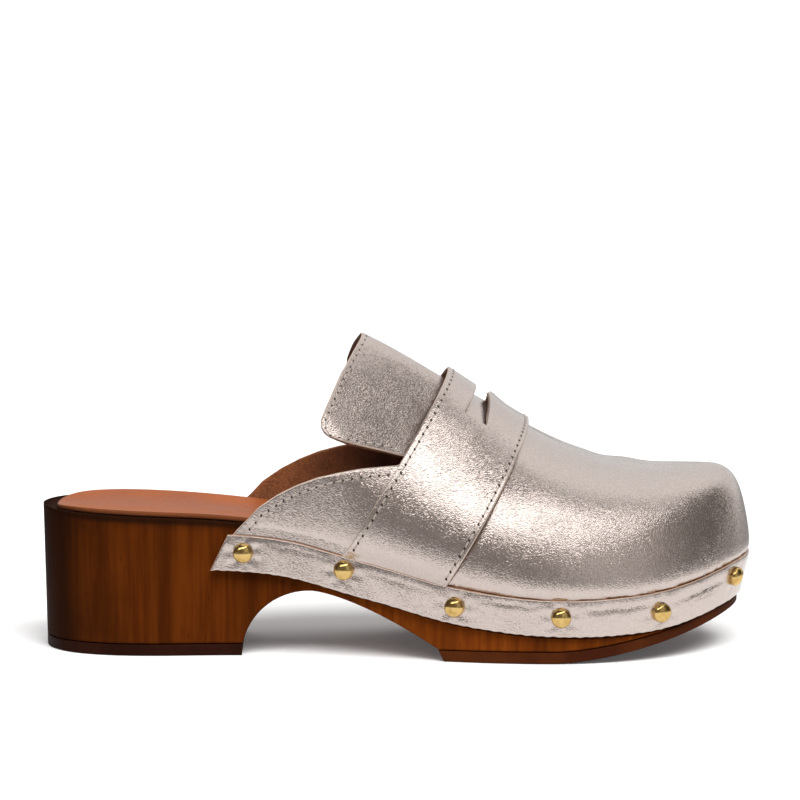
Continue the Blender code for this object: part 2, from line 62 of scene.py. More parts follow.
# the last: plan of the wood's edge, heights along the sole, and the ribs of the leather over the foot
last = {
    "origin": (126.38, -1.06),
    "gap": 0.3,
    "upperWall": 1.8,
    "skirt": 10.0,  # drop below the wood's edge at a girth of -1
    "fanStart": 165.0,
    "fanEnd": 234.0,
    "rollPowers": ((0.5, 2.0), (0.4, 3.0)),  # under the strap, and ahead of it
    "rollTurn": (142.0, 170.0),
    "flat": 2.8,  # sides pressed in high up, behind the vamp
    "flatPowers": (3.0, 0.55),
    "flatTurn": (178.0, 150.0),
    "outline": table(
        "along across",
        (0.0, 0.0), (9.1, -21.9), (31.0, -31.0), (60.0, -30.2), (85.0, -30.5), (115.0, -35.5), (145.0, -43.3),
        (172.0, -47.8), (198.0, -46.5), (222.0, -37.3), (238.0, -22.6), (246.7, -8.0), (249.1, 6.0),
        (246.7, 20.0), (238.0, 32.1), (222.0, 40.3), (198.0, 45.5), (178.0, 46.0), (150.0, 42.0),
        (120.0, 33.0), (92.0, 27.8), (65.0, 28.6), (31.0, 31.0), (9.1, 21.9), (0.0, 0.0)),
    "soleTop": table(
        "along edge dish randTop lean ledge",
        (0.0, 50.9, 2.2, 44.5, 0.025, 0.0), (40.0, 49.5, 2.2, 44.4, 0.025, 0.0),
        (71.0, 47.5, 2.0, 43.6, 0.025, 0.0), (92.0, 44.5, 1.8, 40.9, 0.030, 0.1),
        (107.0, 40.9, 1.7, 36.9, 0.035, 0.2), (125.0, 34.8, 1.5, 32.5, 0.045, 0.4),
        (141.0, 29.4, 1.2, 28.3, 0.055, 0.6), (158.0, 25.4, 1.0, 25.3, 0.060, 0.8),
        (176.0, 23.1, 1.0, 23.4, 0.065, 1.0), (190.0, 22.7, 1.0, 23.1, 0.080, 1.3),
        (206.0, 23.5, 1.0, 23.9, 0.105, 1.7), (219.0, 25.0, 0.9, 25.4, 0.135, 2.1),
        (232.0, 28.0, 0.7, 28.5, 0.175, 2.6), (243.0, 31.3, 0.5, 31.9, 0.210, 2.7),
        (249.1, 33.0, 0.4, 33.8, 0.230, 2.8)),
    "ridge": table(
        "along height across fullness roll",
        (60.0, 121.3, 0.0, 2.0, 0.3), (90.0, 119.3, 0.4, 2.0, 0.6), (114.0, 111.7, 0.8, 2.0, 1.0),
        (140.0, 97.2, 1.4, 2.1, 1.6), (158.0, 86.6, 2.0, 2.25, 2.1), (173.0, 78.1, 2.6, 2.35, 2.4),
        (185.0, 71.9, 3.1, 2.45, 2.5), (196.0, 67.8, 3.6, 2.6, 2.4), (208.0, 65.0, 4.1, 2.8, 2.1),
        (220.0, 63.8, 4.6, 3.1, 1.8), (236.0, 64.3, 5.0, 3.4, 1.6)),
}


def between(value, start, end):  # 0 before the start, 1 past the end, even in between
    return np.clip((value - start) / (end - start), 0, 1)


def eased(part):  # slow at both ends
    return part ** 2 * (3 - 2 * part)


def partWay(pair, part):  # from the first of two values to the second
    return pair[0] + (pair[1] - pair[0]) * part


def bell(away, wide):
    return np.exp(-(away / wide) ** 2)


def unit(vectors):
    return vectors / np.linalg.norm(vectors, axis=-1, keepdims=True)


def spline(knots, values, at, closed=False):  # natural or closed cubic through the rows
    step = np.diff(knots)
    slope = np.diff(values) / step
    count = len(knots)
    matrix = np.zeros((count, count))
    target = np.zeros(count)
    for i in range(1, count - 1):
        matrix[i, i - 1:i + 2] = step[i - 1], 2 * (step[i - 1] + step[i]), step[i]
        target[i] = 6 * (slope[i] - slope[i - 1])
    matrix[0, 0] = 1
    if closed:
        matrix[0, -1] = -1
        matrix[-1, [-2, 0, 1]] = step[-1], 2 * (step[-1] + step[0]), step[0]
        target[-1] = 6 * (slope[0] - slope[-1])
    else:
        matrix[-1, -1] = 1
    bend = np.linalg.solve(matrix, target)
    place = np.clip(at, knots[0], knots[-1])
    i = np.clip(np.searchsorted(knots, place) - 1, 0, count - 2)
    before = (knots[i + 1] - place) / step[i]
    after = (place - knots[i]) / step[i]
    curve = (before ** 3 - before) * bend[i] + (after ** 3 - after) * bend[i + 1]
    return before * values[i] + after * values[i + 1] + curve * step[i] ** 2 / 6


outline = last["outline"]
outlineSteps = np.hypot(np.diff(outline["along"]), np.diff(outline["across"]))
outlineKnots = np.concatenate(([0.0], np.cumsum(outlineSteps)))
fine = np.linspace(0, outlineKnots[-1], 6001)
fineAlong = spline(outlineKnots, outline["along"], fine, closed=True)
toeIndex = int(np.argmax(fineAlong))
toe = float(fineAlong[toeIndex])
toeLength = float(fine[toeIndex])
outer, inner = -1, 1


def edgePlace(along, side):  # length round the outline where a station is met on one side
    if side == outer:
        return np.interp(along, fineAlong[:toeIndex + 1], fine[:toeIndex + 1])
    return np.interp(along, fineAlong[toeIndex:][::-1], fine[toeIndex:][::-1])


def edgeAt(place):  # plan point of the wood's edge and its outward direction
    def at(length):
        length = np.mod(length, outlineKnots[-1])
        columns = [spline(outlineKnots, outline[key], length, True) for key in ("along", "across")]
        return np.stack(columns, axis=-1)

    run = unit(at(place + 0.05) - at(place - 0.05))
    return at(place), np.stack((run[..., 1], -run[..., 0]), axis=-1)


def soleTop(along, column):
    return spline(last["soleTop"]["along"], last["soleTop"][column], along)


def ridge(along, column):
    return spline(last["ridge"]["along"], last["ridge"][column], along)


def ridgeStation(along):  # ribs rise straight, then lean back and fan out from the ridge's end
    start, end = last["fanStart"], last["fanEnd"]
    part = between(along, start, toe)
    lead = (toe - start) / (end - start)
    return np.where(along < start, along, start + (end - start) * (lead * part - (lead - 1) * part ** 2))


def hump(rise, up, down):  # 0 at both ends of a rib, 1 at its fullest
    peak = up / (up + down)
    return (rise / peak) ** up * ((1 - rise) / (1 - peak)) ** down


def swell(station, rise):  # a bulge low on the rib, lower still ahead of the strap
    ahead = between(station, *last["rollTurn"])
    return hump(rise, *(partWay(pair, ahead) for pair in zip(*last["rollPowers"])))


def pressIn(station, rise):  # how far the sides are flattened; most near the top
    return last["flat"] * eased(between(station, *last["flatTurn"])) * hump(rise, *last["flatPowers"])


# outer skin of the leather: a quarter of a rounded square from the wood's edge (girth 0) to the ridge
# (girth 1), swelling over the rand, with a skirt that follows the wood down behind the rand (girth below 0)
def skin(place, girth):
    place, girth = np.broadcast_arrays(np.asarray(place, float), np.asarray(girth, float))
    foot, out = edgeAt(place)
    along = foot[..., 0]
    station = ridgeStation(along)
    foot = foot + out * (last["gap"] + last["upperWall"])
    top = np.stack((station, ridge(station, "across")), axis=-1)
    turn = np.clip(girth, 0, 1) * np.pi / 2
    power = 2 / ridge(station, "fullness")
    inward = 1 - np.cos(turn) ** power
    rise = np.sin(turn) ** power
    drop = -np.minimum(girth, 0) * last["skirt"]
    reach = ridge(station, "roll") * swell(station, rise) - pressIn(station, rise)
    reach = reach - drop * soleTop(along, "lean")
    plan = foot + (top - foot) * inward[..., None] + out * reach[..., None]
    low = soleTop(along, "edge")
    height = low + (ridge(station, "height") - low) * rise - drop
    return np.concatenate((plan, height[..., None]), axis=-1)


def girthAt(place, height):  # the girth at which a rib reaches a height
    along = edgeAt(place)[0][..., 0]
    station = ridgeStation(along)
    low = soleTop(along, "edge")
    part = between(height, low, ridge(station, "height"))
    above = np.arcsin(part ** (ridge(station, "fullness") / 2)) * 2 / np.pi
    return np.where(height < low, (height - low) / last["skirt"], above)


def outward(place, girth):  # the skin's normal, from small steps along and up
    girth = np.minimum(girth, 0.992)
    return unit(np.cross(skin(place + 0.2, girth) - skin(place - 0.2, girth),
                         skin(place, girth + 0.004) - skin(place, girth - 0.004)))


# shared mesh helpers

def toRow(points):
    return (np.asarray(points, float) - (*last["origin"], 0.0)) * 0.001


# cross product of the two grid directions; where these nearly agree, the mean of the normals round about
def gridNormals(points):
    one, two = np.gradient(points, axis=0), np.gradient(points, axis=1)
    normal = np.cross(one, two)
    size = np.linalg.norm(normal, axis=-1)
    sure = size > np.maximum(0.3 * np.linalg.norm(one, axis=-1) * np.linalg.norm(two, axis=-1), 1e-6)
    normal = np.where(sure[..., None], normal / np.maximum(size, 1e-9)[..., None], 0.0)
    for _ in range(12):
        around = np.pad(normal, ((1, 1), (1, 1), (0, 0)))
        around = around[:-2, 1:-1] + around[2:, 1:-1] + around[1:-1, :-2] + around[1:-1, 2:]
        size = np.linalg.norm(around, axis=-1, keepdims=True)
        normal = np.where(sure[..., None], normal, around / np.maximum(size, 1e-9))
    return normal


def arcs(points, axis):  # running length along one grid direction, and what is left of it
    step = np.linalg.norm(np.diff(points, axis=axis), axis=-1)
    run = np.pad(np.cumsum(step, axis=axis), [(1, 0) if a == axis else (0, 0) for a in (0, 1)])
    return run, np.take(run, [-1], axis=axis) - run


def steps(length, spacing, edge, ends=(True, True)):  # even shares of a length, crowded towards its cut edges
    crowd = np.array((0.0, 0.05, 0.2, 0.45, 0.75, 1.1)) * edge
    start = crowd if ends[0] else np.zeros(1)
    end = length - crowd[::-1] if ends[1] else np.array([length])
    count = max(2, int(round((end[0] - start[-1]) / spacing)))
    return np.concatenate((start, np.linspace(start[-1], end[0], count + 1)[1:-1], end)) / length


def quads(ids):
    return np.stack((ids[:-1, :-1], ids[1:, :-1], ids[1:, 1:], ids[:-1, 1:]), axis=-1).reshape(-1, 4)


def closedQuads(rows, cols, axis=1):  # faces of a grid that comes round to its first line again
    ids = np.arange(rows * cols).reshape(rows, cols)
    return quads(np.concatenate((ids, np.take(ids, [0], axis=axis)), axis=axis))


def quarterRound(away, edge):  # how full a wall is at a distance from its cut edge
    return np.sqrt(1 - (1 - np.clip(away / edge, 0, 1)) ** 2)


def addPiece(name, points, faces, look, nodes=(), values=None, weld=False):
    mesh = bpy.data.meshes.new(name)
    mesh.from_pydata(toRow(points).reshape(-1, 3).tolist(), [], faces.tolist())
    for key, data in (values or {}).items():
        layer = mesh.attributes.new(key, "FLOAT", "POINT")
        layer.data.foreach_set("value", np.asarray(data, np.float32).ravel())
    if weld:  # sections that shrink to a line or a point close here
        body = bmesh.new()
        body.from_mesh(mesh)
        bmesh.ops.remove_doubles(body, verts=body.verts, dist=2e-6)
        bmesh.ops.dissolve_degenerate(body, edges=body.edges, dist=1e-6)
        bmesh.ops.recalc_face_normals(body, faces=body.faces)
        body.to_mesh(mesh)
        body.free()
    mesh.polygons.foreach_set("use_smooth", np.ones(len(mesh.polygons), bool))
    mesh.materials.append(look)
    mesh.update()
    piece = bpy.data.objects.new(name, mesh)
    bpy.context.scene.collection.objects.link(piece)
    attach(piece, "root")
    if nodes:
        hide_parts(*nodes)
    print(name, len(mesh.polygons), "faces")
    return piece


# a leather sheet: the outer face lies on the grid and the inner one a wall behind it; towards each cut edge
# the two draw together in a quarter round, so that the sheet closes on its own border
def closeSheet(name, points, normal, wall, away, edge, ids, keep, look, nodes, values=None):
    rows, cols = points.shape[:2]
    full = quarterRound(away, edge)[..., None]
    thick = np.broadcast_to(wall, (rows, cols))[..., None] / 2
    front = points - normal * thick * (1 - full)
    back = points - normal * thick * (1 + full)
    faces = np.concatenate((quads(ids[0])[keep], quads(ids[1])[keep][:, ::-1]))
    used, faces = np.unique(faces, return_inverse=True)
    every = np.concatenate((front.reshape(-1, 3), back.reshape(-1, 3)))[used]
    kept = {"inside": np.repeat((0.0, 1.0), rows * cols)[used]}
    for key, data in {"cut": np.clip(1 - away / edge, 0, 1), **(values or {})}.items():
        kept[key] = np.tile(np.asarray(data, float).ravel(), 2)[used]
    addPiece(name, every, faces.reshape(-1, 4), look, nodes, kept)


# running lengths both ways, the distance to the nearest of three sides of the grid, and that to its far side
def edgesAway(points):
    runA, leftA = arcs(points, 0)
    runB, leftB = arcs(points, 1)
    return runA, runB, np.minimum(np.minimum(runA, leftA), runB), leftB


def addSheet(name, points, wall, edge, look, nodes=(), joined=None, values=None):
    rows, cols = points.shape[:2]
    joined = np.zeros(rows, bool) if joined is None else joined
    _, _, away, above = edgesAway(points)
    away = np.minimum(away, np.where(joined[:, None], 1e3, above))
    frontIds = np.arange(rows * cols).reshape(rows, cols)
    border = np.zeros((rows, cols), bool)
    border[[0, -1]] = True
    border[:, 0] = True
    border[:, -1] |= ~joined
    backIds = np.where(border, frontIds, frontIds + rows * cols)
    mine = np.where(joined & (np.arange(rows) > (rows - 1) / 2))[0]
    for ids in (frontIds, backIds):  # the two sides share their points along the ridge
        ids[mine, -1] = ids[rows - 1 - mine, -1]
    closeSheet(name, points, gridNormals(points), wall, away, edge, (frontIds, backIds), slice(None),
               look, nodes, values)


def wave(at, period, seed):  # smooth wander between -1 and 1: a few sines, pace and phase from the seed
    draw = np.random.default_rng(seed)
    total = np.zeros_like(np.asarray(at, float))
    for share in (1.0, 0.6, 0.4):
        total += share * np.sin(2 * np.pi * at / (period * (0.6 + draw.random())) + 2 * np.pi * draw.random())
    return total / 2.0


# shader helpers

def setInputs(tree, node, inputs):  # a link where the value is another node's socket, or else a constant
    for key, value in inputs.items():
        if isinstance(value, bpy.types.NodeSocket):
            tree.links.new(value, node.inputs[key])
        else:
            node.inputs[key].default_value = value


def put(tree, kind, settings=None, inputs=None):  # a node with its settings, constants and links
    made = tree.nodes.new(kind)
    for key, value in (settings or {}).items():
        setattr(made, key, value)
    setInputs(tree, made, inputs or {})
    return made


def ramp(tree, value, low, high, to=(0.0, 1.0), smooth=True):  # part of the way from low to high, eased
    made = put(tree, "ShaderNodeMapRange", {"interpolation_type": "SMOOTHSTEP" if smooth else "LINEAR"},
               {"Value": value, "From Min": low, "From Max": high, "To Min": to[0], "To Max": to[1]})
    return made.outputs[0]


def blendColour(tree, share, one, two, mode="MIX"):
    one, two = (c if isinstance(c, bpy.types.NodeSocket) else (*c, 1.0) for c in (one, two))
    made = put(tree, "ShaderNodeMix", {"data_type": "RGBA", "blend_type": mode}, {0: share, 6: one, 7: two})
    return made.outputs[2]


def sums(tree, operation, one, two):
    return put(tree, "ShaderNodeMath", {"operation": operation}, {0: one, 1: two}).outputs[0]


def vectors(tree, operation, *values):
    return put(tree, "ShaderNodeVectorMath", {"operation": operation}, dict(enumerate(values))).outputs[0]


def scaled(tree, vector, amount):
    return put(tree, "ShaderNodeVectorMath", {"operation": "SCALE"}, {0: vector, "Scale": amount}).outputs[0]


def mapped(tree, vector, setting, values):  # turned or stretched coordinates
    return put(tree, "ShaderNodeMapping", None, {"Vector": vector, setting: values}).outputs[0]


def noise(tree, place, scale, detail, out="Fac", rough=0.5):
    return put(tree, "ShaderNodeTexNoise", None,
               {"Vector": place, "Scale": scale, "Detail": detail, "Roughness": rough}).outputs[out]


def cellular(tree, place, scale):
    return put(tree, "ShaderNodeTexVoronoi", {"feature": "F1"}, {"Vector": place, "Scale": scale}).outputs


def attribute(tree, name):
    return put(tree, "ShaderNodeAttribute", {"attribute_name": name}).outputs["Fac"]


def relief(tree, shader, strength, depth, height, normal=None):
    inputs = {"Strength": strength, "Distance": depth, "Height": height}
    if normal is not None:
        inputs["Normal"] = normal
    setInputs(tree, shader, {"Normal": put(tree, "ShaderNodeBump", None, inputs).outputs[0]})


def newLook(name):
    look = bpy.data.materials.new(name)
    look.use_nodes = True
    tree = look.node_tree
    tree.nodes.clear()
    end = tree.nodes.new("ShaderNodeOutputMaterial")
    shader = tree.nodes.new("ShaderNodeBsdfPrincipled")
    tree.links.new(shader.outputs[0], end.inputs[0])
    place = tree.nodes.new("ShaderNodeTexCoord").outputs["Object"]
    return look, tree, shader, place


def newGroup(name, inputs, outputs):
    group = bpy.data.node_groups.new(name, "ShaderNodeTree")
    for way, sockets in (("INPUT", inputs), ("OUTPUT", outputs)):
        for key, kind in sockets:
            group.interface.new_socket(name=key, in_out=way, socket_type=kind)
    return group, group.nodes.new("NodeGroupInput"), group.nodes.new("NodeGroupOutput")


pebbleGrain = {
    "drift": 0.0005, "turn": 0.85, "stretch": (0.75, 1.333),  # narrowed along the slant, and back again
    "flatTop": (0.12, 0.62), "steep": (0.25, 1.3), "ownTilt": 1.05,
    # pitShade: where the mask for painted shade in the hollows between pebbles starts and ends
    "patch": (0.3, 0.65), "pressed": (0.7, 1.15), "pitShade": (0.4, 0.8),
}


# pebble grain: rounded cells of the given size, a little longer along one slant; each pebble is a small dome
# with a flat top, so the surface leans away from its middle and most at its rim, and some patches are flatter
def pebbleGroup(own):
    group, start, end = newGroup(
        "pebbleGrain",
        (("Place", "NodeSocketVector"), ("Size", "NodeSocketFloat"), ("Lean", "NodeSocketFloat")),
        (("Height", "NodeSocketFloat"), ("PitShade", "NodeSocketFloat"), ("Normal", "NodeSocketVector")))
    place = start.outputs["Place"]
    scale = sums(group, "DIVIDE", 1000.0, start.outputs["Size"])
    drift = noise(group, place, sums(group, "MULTIPLY", scale, 0.5), 2.0, "Color")
    slant = vectors(group, "MULTIPLY_ADD", drift, (own["drift"],) * 3, place)
    slant = mapped(group, slant, "Rotation", (0.0, own["turn"], 0.0))
    slant = mapped(group, slant, "Scale", (own["stretch"][0], 1.0, 1.0))
    cells = cellular(group, slant, scale)
    dome = vectors(group, "SUBTRACT", slant, cells["Position"])
    dome = mapped(group, dome, "Scale", (own["stretch"][1], 1.0, 1.0))
    dome = mapped(group, dome, "Rotation", (0.0, -own["turn"], 0.0))
    steep = ramp(group, cells["Distance"], *own["flatTop"], own["steep"], False)
    dome = scaled(group, dome, sums(group, "MULTIPLY", scale, steep))
    patch = noise(group, place, sums(group, "MULTIPLY", scale, 0.05), 2.0)
    pressed = ramp(group, patch, *own["patch"], own["pressed"])
    tilt = vectors(group, "SUBTRACT", cells["Color"], (0.5, 0.5, 0.5))
    lean = vectors(group, "MULTIPLY_ADD", tilt, (own["ownTilt"],) * 3, dome)
    lean = scaled(group, lean, sums(group, "MULTIPLY", start.outputs["Lean"], pressed))
    turned = vectors(group, "ADD", group.nodes.new("ShaderNodeNewGeometry").outputs["Normal"], lean)
    setInputs(group, end, {"Height": sums(group, "SUBTRACT", 1.0, cells["Distance"]),
                           # PitShade marks the hollows between pebbles, for painted shade
                           "PitShade": ramp(group, cells["Distance"], *own["pitShade"]),
                           "Normal": vectors(group, "NORMALIZE", turned)})
    return group


pebble = pebbleGroup(pebbleGrain)


def pebbles(tree, place, size, lean):
    inputs = {"Place": place, "Size": size, "Lean": lean}
    return put(tree, "ShaderNodeGroup", {"node_tree": pebble}, inputs).outputs


foilLeather = {
    "foil": (0.66, 0.57, 0.526),
    "foilDeep": (0.40, 0.35, 0.315),
    "rawEdge": (0.52, 0.385, 0.30),
    "rawInside": (0.24, 0.105, 0.05),
    "metal": 0.92,
    "rough": (0.125, 0.17), "cloudScale": 55.0,
    "rawDull": 0.35,  # rougher by this where the foil ends
    "pebbleSize": 0.40, "pebbleLean": 0.10, "pebbleDepth": 0.00002, "pitShade": 0.12,
    "crushedLean": 0.12,  # added where the grain was drawn up in lasting
    "speckle": 0.30, "speckSize": 0.46,
}


def makeFoil(name, own):
    look, tree, shader, place = newLook(name)
    crushed = sums(tree, "MULTIPLY", attribute(tree, "crushed"), own["crushedLean"])
    grain = pebbles(tree, place, own["pebbleSize"], sums(tree, "ADD", own["pebbleLean"], crushed))
    # painted shade: the foil is darker in the hollows between pebbles
    pitShaded = sums(tree, "MULTIPLY", grain["PitShade"], own["pitShade"])
    colour = blendColour(tree, pitShaded, own["foil"], own["foilDeep"])
    specks = cellular(tree, place, 1000.0 / own["speckSize"])["Color"]
    tone = put(tree, "ShaderNodeSeparateColor", None, {0: specks}).outputs[0]
    colour = blendColour(tree, sums(tree, "MULTIPLY", tone, own["speckle"]), colour, own["foilDeep"])
    edge = ramp(tree, attribute(tree, "cut"), 0.25, 0.75)
    bare = ramp(tree, attribute(tree, "inside"), 0.4, 0.6)
    colour = blendColour(tree, edge, colour, own["rawEdge"])
    colour = blendColour(tree, bare, colour, own["rawInside"])
    covered = sums(tree, "MULTIPLY", sums(tree, "SUBTRACT", 1.0, edge), sums(tree, "SUBTRACT", 1.0, bare))
    rough = ramp(tree, noise(tree, place, own["cloudScale"], 4.0), 0.3, 0.7, own["rough"])
    dull = sums(tree, "MULTIPLY", sums(tree, "SUBTRACT", 1.0, covered), own["rawDull"])
    setInputs(tree, shader, {"Base Color": colour, "Metallic": sums(tree, "MULTIPLY", covered, own["metal"]),
                             "Roughness": sums(tree, "ADD", rough, dull)})
    relief(tree, shader, 1.0, own["pebbleDepth"], grain["Height"], grain["Normal"])
    return look


foilLook = makeFoil("champagneFoil", foilLeather)
randLook = makeFoil("champagneRand", {**foilLeather, "rawEdge": (0.34, 0.20, 0.125)})

suedeLining = {
    "light": (0.135, 0.041, 0.0145),
    "deep": (0.075, 0.022, 0.008),
    # painted light towards the wings' open ends
    "paintedLighter": (0.36, 0.125, 0.045),
    "rough": 0.85, "sheen": 0.08, "patchScale": 160.0,
    "napSize": 0.5, "napLean": 0.4, "napDepth": 0.00006, "pitShade": 0.4,
}


def makeSuede(own):
    look, tree, shader, place = newLook("tanSuede")
    nap = pebbles(tree, place, own["napSize"], own["napLean"])
    patch = noise(tree, place, own["patchScale"], 5.0)
    colour = blendColour(tree, ramp(tree, patch, 0.3, 0.7), own["deep"], own["light"])
    # painted light: lighter towards the wings' ends, in patches
    paintedLightAtOpening = sums(tree, "MULTIPLY", attribute(tree, "paintedLighter"), ramp(tree, patch, 0.2, 0.8, (0.6, 1.0)))
    colour = blendColour(tree, paintedLightAtOpening, colour, own["paintedLighter"])
    # painted shade: the nap is darker in its hollows
    colour = blendColour(tree, sums(tree, "MULTIPLY", nap["PitShade"], own["pitShade"]), colour, own["deep"])
    setInputs(tree, shader, {"Base Color": colour, "Roughness": own["rough"], "Sheen Weight": own["sheen"]})
    relief(tree, shader, 0.8, own["napDepth"], nap["Height"], nap["Normal"])
    return look


suedeLook = makeSuede(suedeLining)

sockLeather = {
    "light": (0.36, 0.101, 0.029),
    "deep": (0.275, 0.072, 0.020),
    "edge": (0.10, 0.035, 0.015), "edgeShare": 0.75,
    "rough": (0.30, 0.42), "specular": 0.035, "stainScale": 38.0,
    "poreSize": 0.6, "poreLean": 0.1, "poreDepth": 0.00003,
}


def makeSock(own):
    look, tree, shader, place = newLook("cognacSock")
    pores = pebbles(tree, place, own["poreSize"], own["poreLean"])
    stain = noise(tree, place, own["stainScale"], 5.0)
    edge = ramp(tree, attribute(tree, "cut"), 0.3, 0.9)
    colour = blendColour(tree, ramp(tree, stain, 0.3, 0.72), own["deep"], own["light"])
    colour = blendColour(tree, sums(tree, "MULTIPLY", edge, own["edgeShare"]), colour, own["edge"])
    setInputs(tree, shader, {"Base Color": colour, "Roughness": ramp(tree, stain, 0.35, 0.65, own["rough"]),
                             "Specular IOR Level": own["specular"]})
    relief(tree, shader, 0.5, own["poreDepth"], pores["Height"], pores["Normal"])
    return look


sockLook = makeSock(sockLeather)

stainedWood = {
    "light": (0.100, 0.0225, 0.0026),
    "mid": (0.063, 0.0128, 0.0017),
    "dark": (0.023, 0.0054, 0.0012),
    "rim": (0.011, 0.004, 0.002),
    "paintedLighter": (1.9, 1.95, 1.9),  # painted light: lighter ahead of the heel, offsetting the shade the rand casts on the wood
    "rough": (0.42, 0.56), "specular": 0.008, "depth": 0.00006,
    "streakScale": 420.0, "broadScale": 75.0, "streakLength": 0.045,
    "poreScale": 700.0, "poreLength": 0.12, "cloudScale": 40.0,
}


# stained wood: long upright streaks of light and dark, short dark pores along them, a darker band just below
# the top edge, and darker round the back of the heel, there partly stain and partly painted shade
def makeWood(own):
    look, tree, shader, place = newLook("stainedWood")
    upright = mapped(tree, place, "Scale", (1.0, 1.0, own["streakLength"]))
    streak = noise(tree, upright, own["streakScale"], 6.0, rough=0.62)
    broad = noise(tree, upright, own["broadScale"], 3.0)
    grooves = mapped(tree, place, "Scale", (1.0, 1.0, own["poreLength"]))
    pore = cellular(tree, grooves, own["poreScale"])["Distance"]
    cloud = noise(tree, place, own["cloudScale"], 3.0)
    pit = ramp(tree, pore, 0.16, 0.05, (0.0, 0.6))
    colour = blendColour(tree, ramp(tree, streak, 0.34, 0.66), own["mid"], own["light"])
    for share in (ramp(tree, broad, 0.42, 0.7, (0.0, 0.55)), ramp(tree, cloud, 0.45, 0.75, (0.0, 0.4)), pit):
        colour = blendColour(tree, share, colour, own["dark"])
    # painted light: the wood is lighter ahead of the heel
    colour = blendColour(tree, attribute(tree, "paintedLighter"), colour, own["paintedLighter"], "MULTIPLY")
    # darker just below the top edge and round the back of the heel; at the back partly painted shade
    colour = blendColour(tree, ramp(tree, attribute(tree, "rim"), 0.0, 1.0, (0.0, 0.9)), colour, own["rim"])
    setInputs(tree, shader, {"Base Color": colour, "Roughness": ramp(tree, streak, 0.3, 0.7, own["rough"]),
                             "Specular IOR Level": own["specular"]})
    relief(tree, shader, 0.5, own["depth"], sums(tree, "SUBTRACT", streak, pit))
    return look


woodLook = makeWood(stainedWood)

heelRubber = {"light": (0.028, 0.0085, 0.0045), "dark": (0.016, 0.0045, 0.0025), "rough": (0.42, 0.6)}
soleRubber = {"light": (0.070, 0.018, 0.0047), "dark": (0.042, 0.010, 0.0037), "rough": (0.46, 0.62)}


def makeRubber(name, own):  # moulded rubber: fine mottling and a slightly scuffed skin
    look, tree, shader, place = newLook(name)
    scuff = noise(tree, place, 60.0, 6.0)
    colour = blendColour(tree, ramp(tree, scuff, 0.35, 0.7), own["dark"], own["light"])
    rough = ramp(tree, scuff, 0.3, 0.7, own["rough"])
    setInputs(tree, shader, {"Base Color": colour, "Roughness": rough, "Specular IOR Level": 0.025})
    relief(tree, shader, 0.5, 0.00004, noise(tree, place, 900.0, 3.0))
    return look


heelRubberLook = makeRubber("heelRubber", heelRubber)
soleRubberLook = makeRubber("soleRubber", soleRubber)

nailBrass = {"bright": (0.72, 0.50, 0.19), "dull": (0.54, 0.35, 0.11), "rough": (0.06, 0.14)}


def makeBrass(own):  # polished brass with faint tarnish
    look, tree, shader, place = newLook("polishedBrass")
    tarnish = noise(tree, place, 500.0, 4.0)
    colour = blendColour(tree, ramp(tree, tarnish, 0.4, 0.75), own["bright"], own["dull"])
    setInputs(tree, shader, {"Base Color": colour, "Metallic": 1.0,
                             "Roughness": ramp(tree, tarnish, 0.35, 0.75, own["rough"])})
    return look


brassLook = makeBrass(nailBrass)

thread = {"light": (0.56, 0.48, 0.42), "dark": (0.40, 0.33, 0.28), "rough": 0.5, "metal": 0.3}
# painted shade: the dark inside of a needle hole
paintedHoleShade = {"light": (0.022, 0.012, 0.009), "dark": (0.008, 0.004, 0.003), "rough": 0.9, "metal": 0.0}


def makePlain(name, own):  # thread, and the painted shade that stands for the needle holes: twisted fibre tone
    look, tree, shader, place = newLook(name)
    fibre = ramp(tree, noise(tree, place, 2500.0, 2.0), 0.3, 0.7)
    setInputs(tree, shader, {"Base Color": blendColour(tree, fibre, own["dark"], own["light"]),
                             "Roughness": own["rough"], "Metallic": own["metal"]})
    return look


threadLook = makePlain("champagneThread", thread)
holeShadeLook = makePlain("paintedHoleShade", paintedHoleShade)
print("materials made")

# wooden sole and its two rubbers

soleShape = {
    "heelLift": 4.0, "heelRound": 31.0, "breast": 71.5,
    "archTop": 96.0, "archHeight": 23.4, "archFrontPower": 1.45, "archFoot": 3.8,
    "padRear": 141.0, "padRearSlant": 1.8,
    "toeLiftStart": 182.0, "toeLift": 15.3, "toeLiftPower": 1.55,
    "sideLean": 0.025, "ledgeDrop": 0.9,
    "pad": table("along thick", (141.0, 3.8), (184.0, 4.0), (208.0, 3.8), (230.0, 3.6), (240.0, 3.2),
                 (249.1, 2.4)),
    "rimRound": 1.1, "footRound": 0.8, "ledgeRound": 0.35, "rubberRound": 0.55,
    "randWidth": (13.0, 14.6),  # along the sides, and at the toe
    "toeRun": 205.0,  # stations crowd from here to the toe
    "darkRim": (0.6, 2.2), "darkRimBack": (0.85, 19.0),  # darker below the top edge, and round the back of the heel, where it is partly painted shade
    "paintedLighter": (80.0, 112.0), "toePaintedLightCut": 0.4, "toePaintedLightCutTurn": (205.0, 245.0),
}


def toePart(along):
    return between(along, soleShape["toeLiftStart"], toe)


def randLow(along):
    return soleTop(along, "randTop") - partWay(soleShape["randWidth"], toePart(along))


def padBottom(along):
    return soleShape["toeLift"] * toePart(along) ** soleShape["toeLiftPower"]


def padTop(along):
    return padBottom(along) + spline(soleShape["pad"]["along"], soleShape["pad"]["thick"], along)


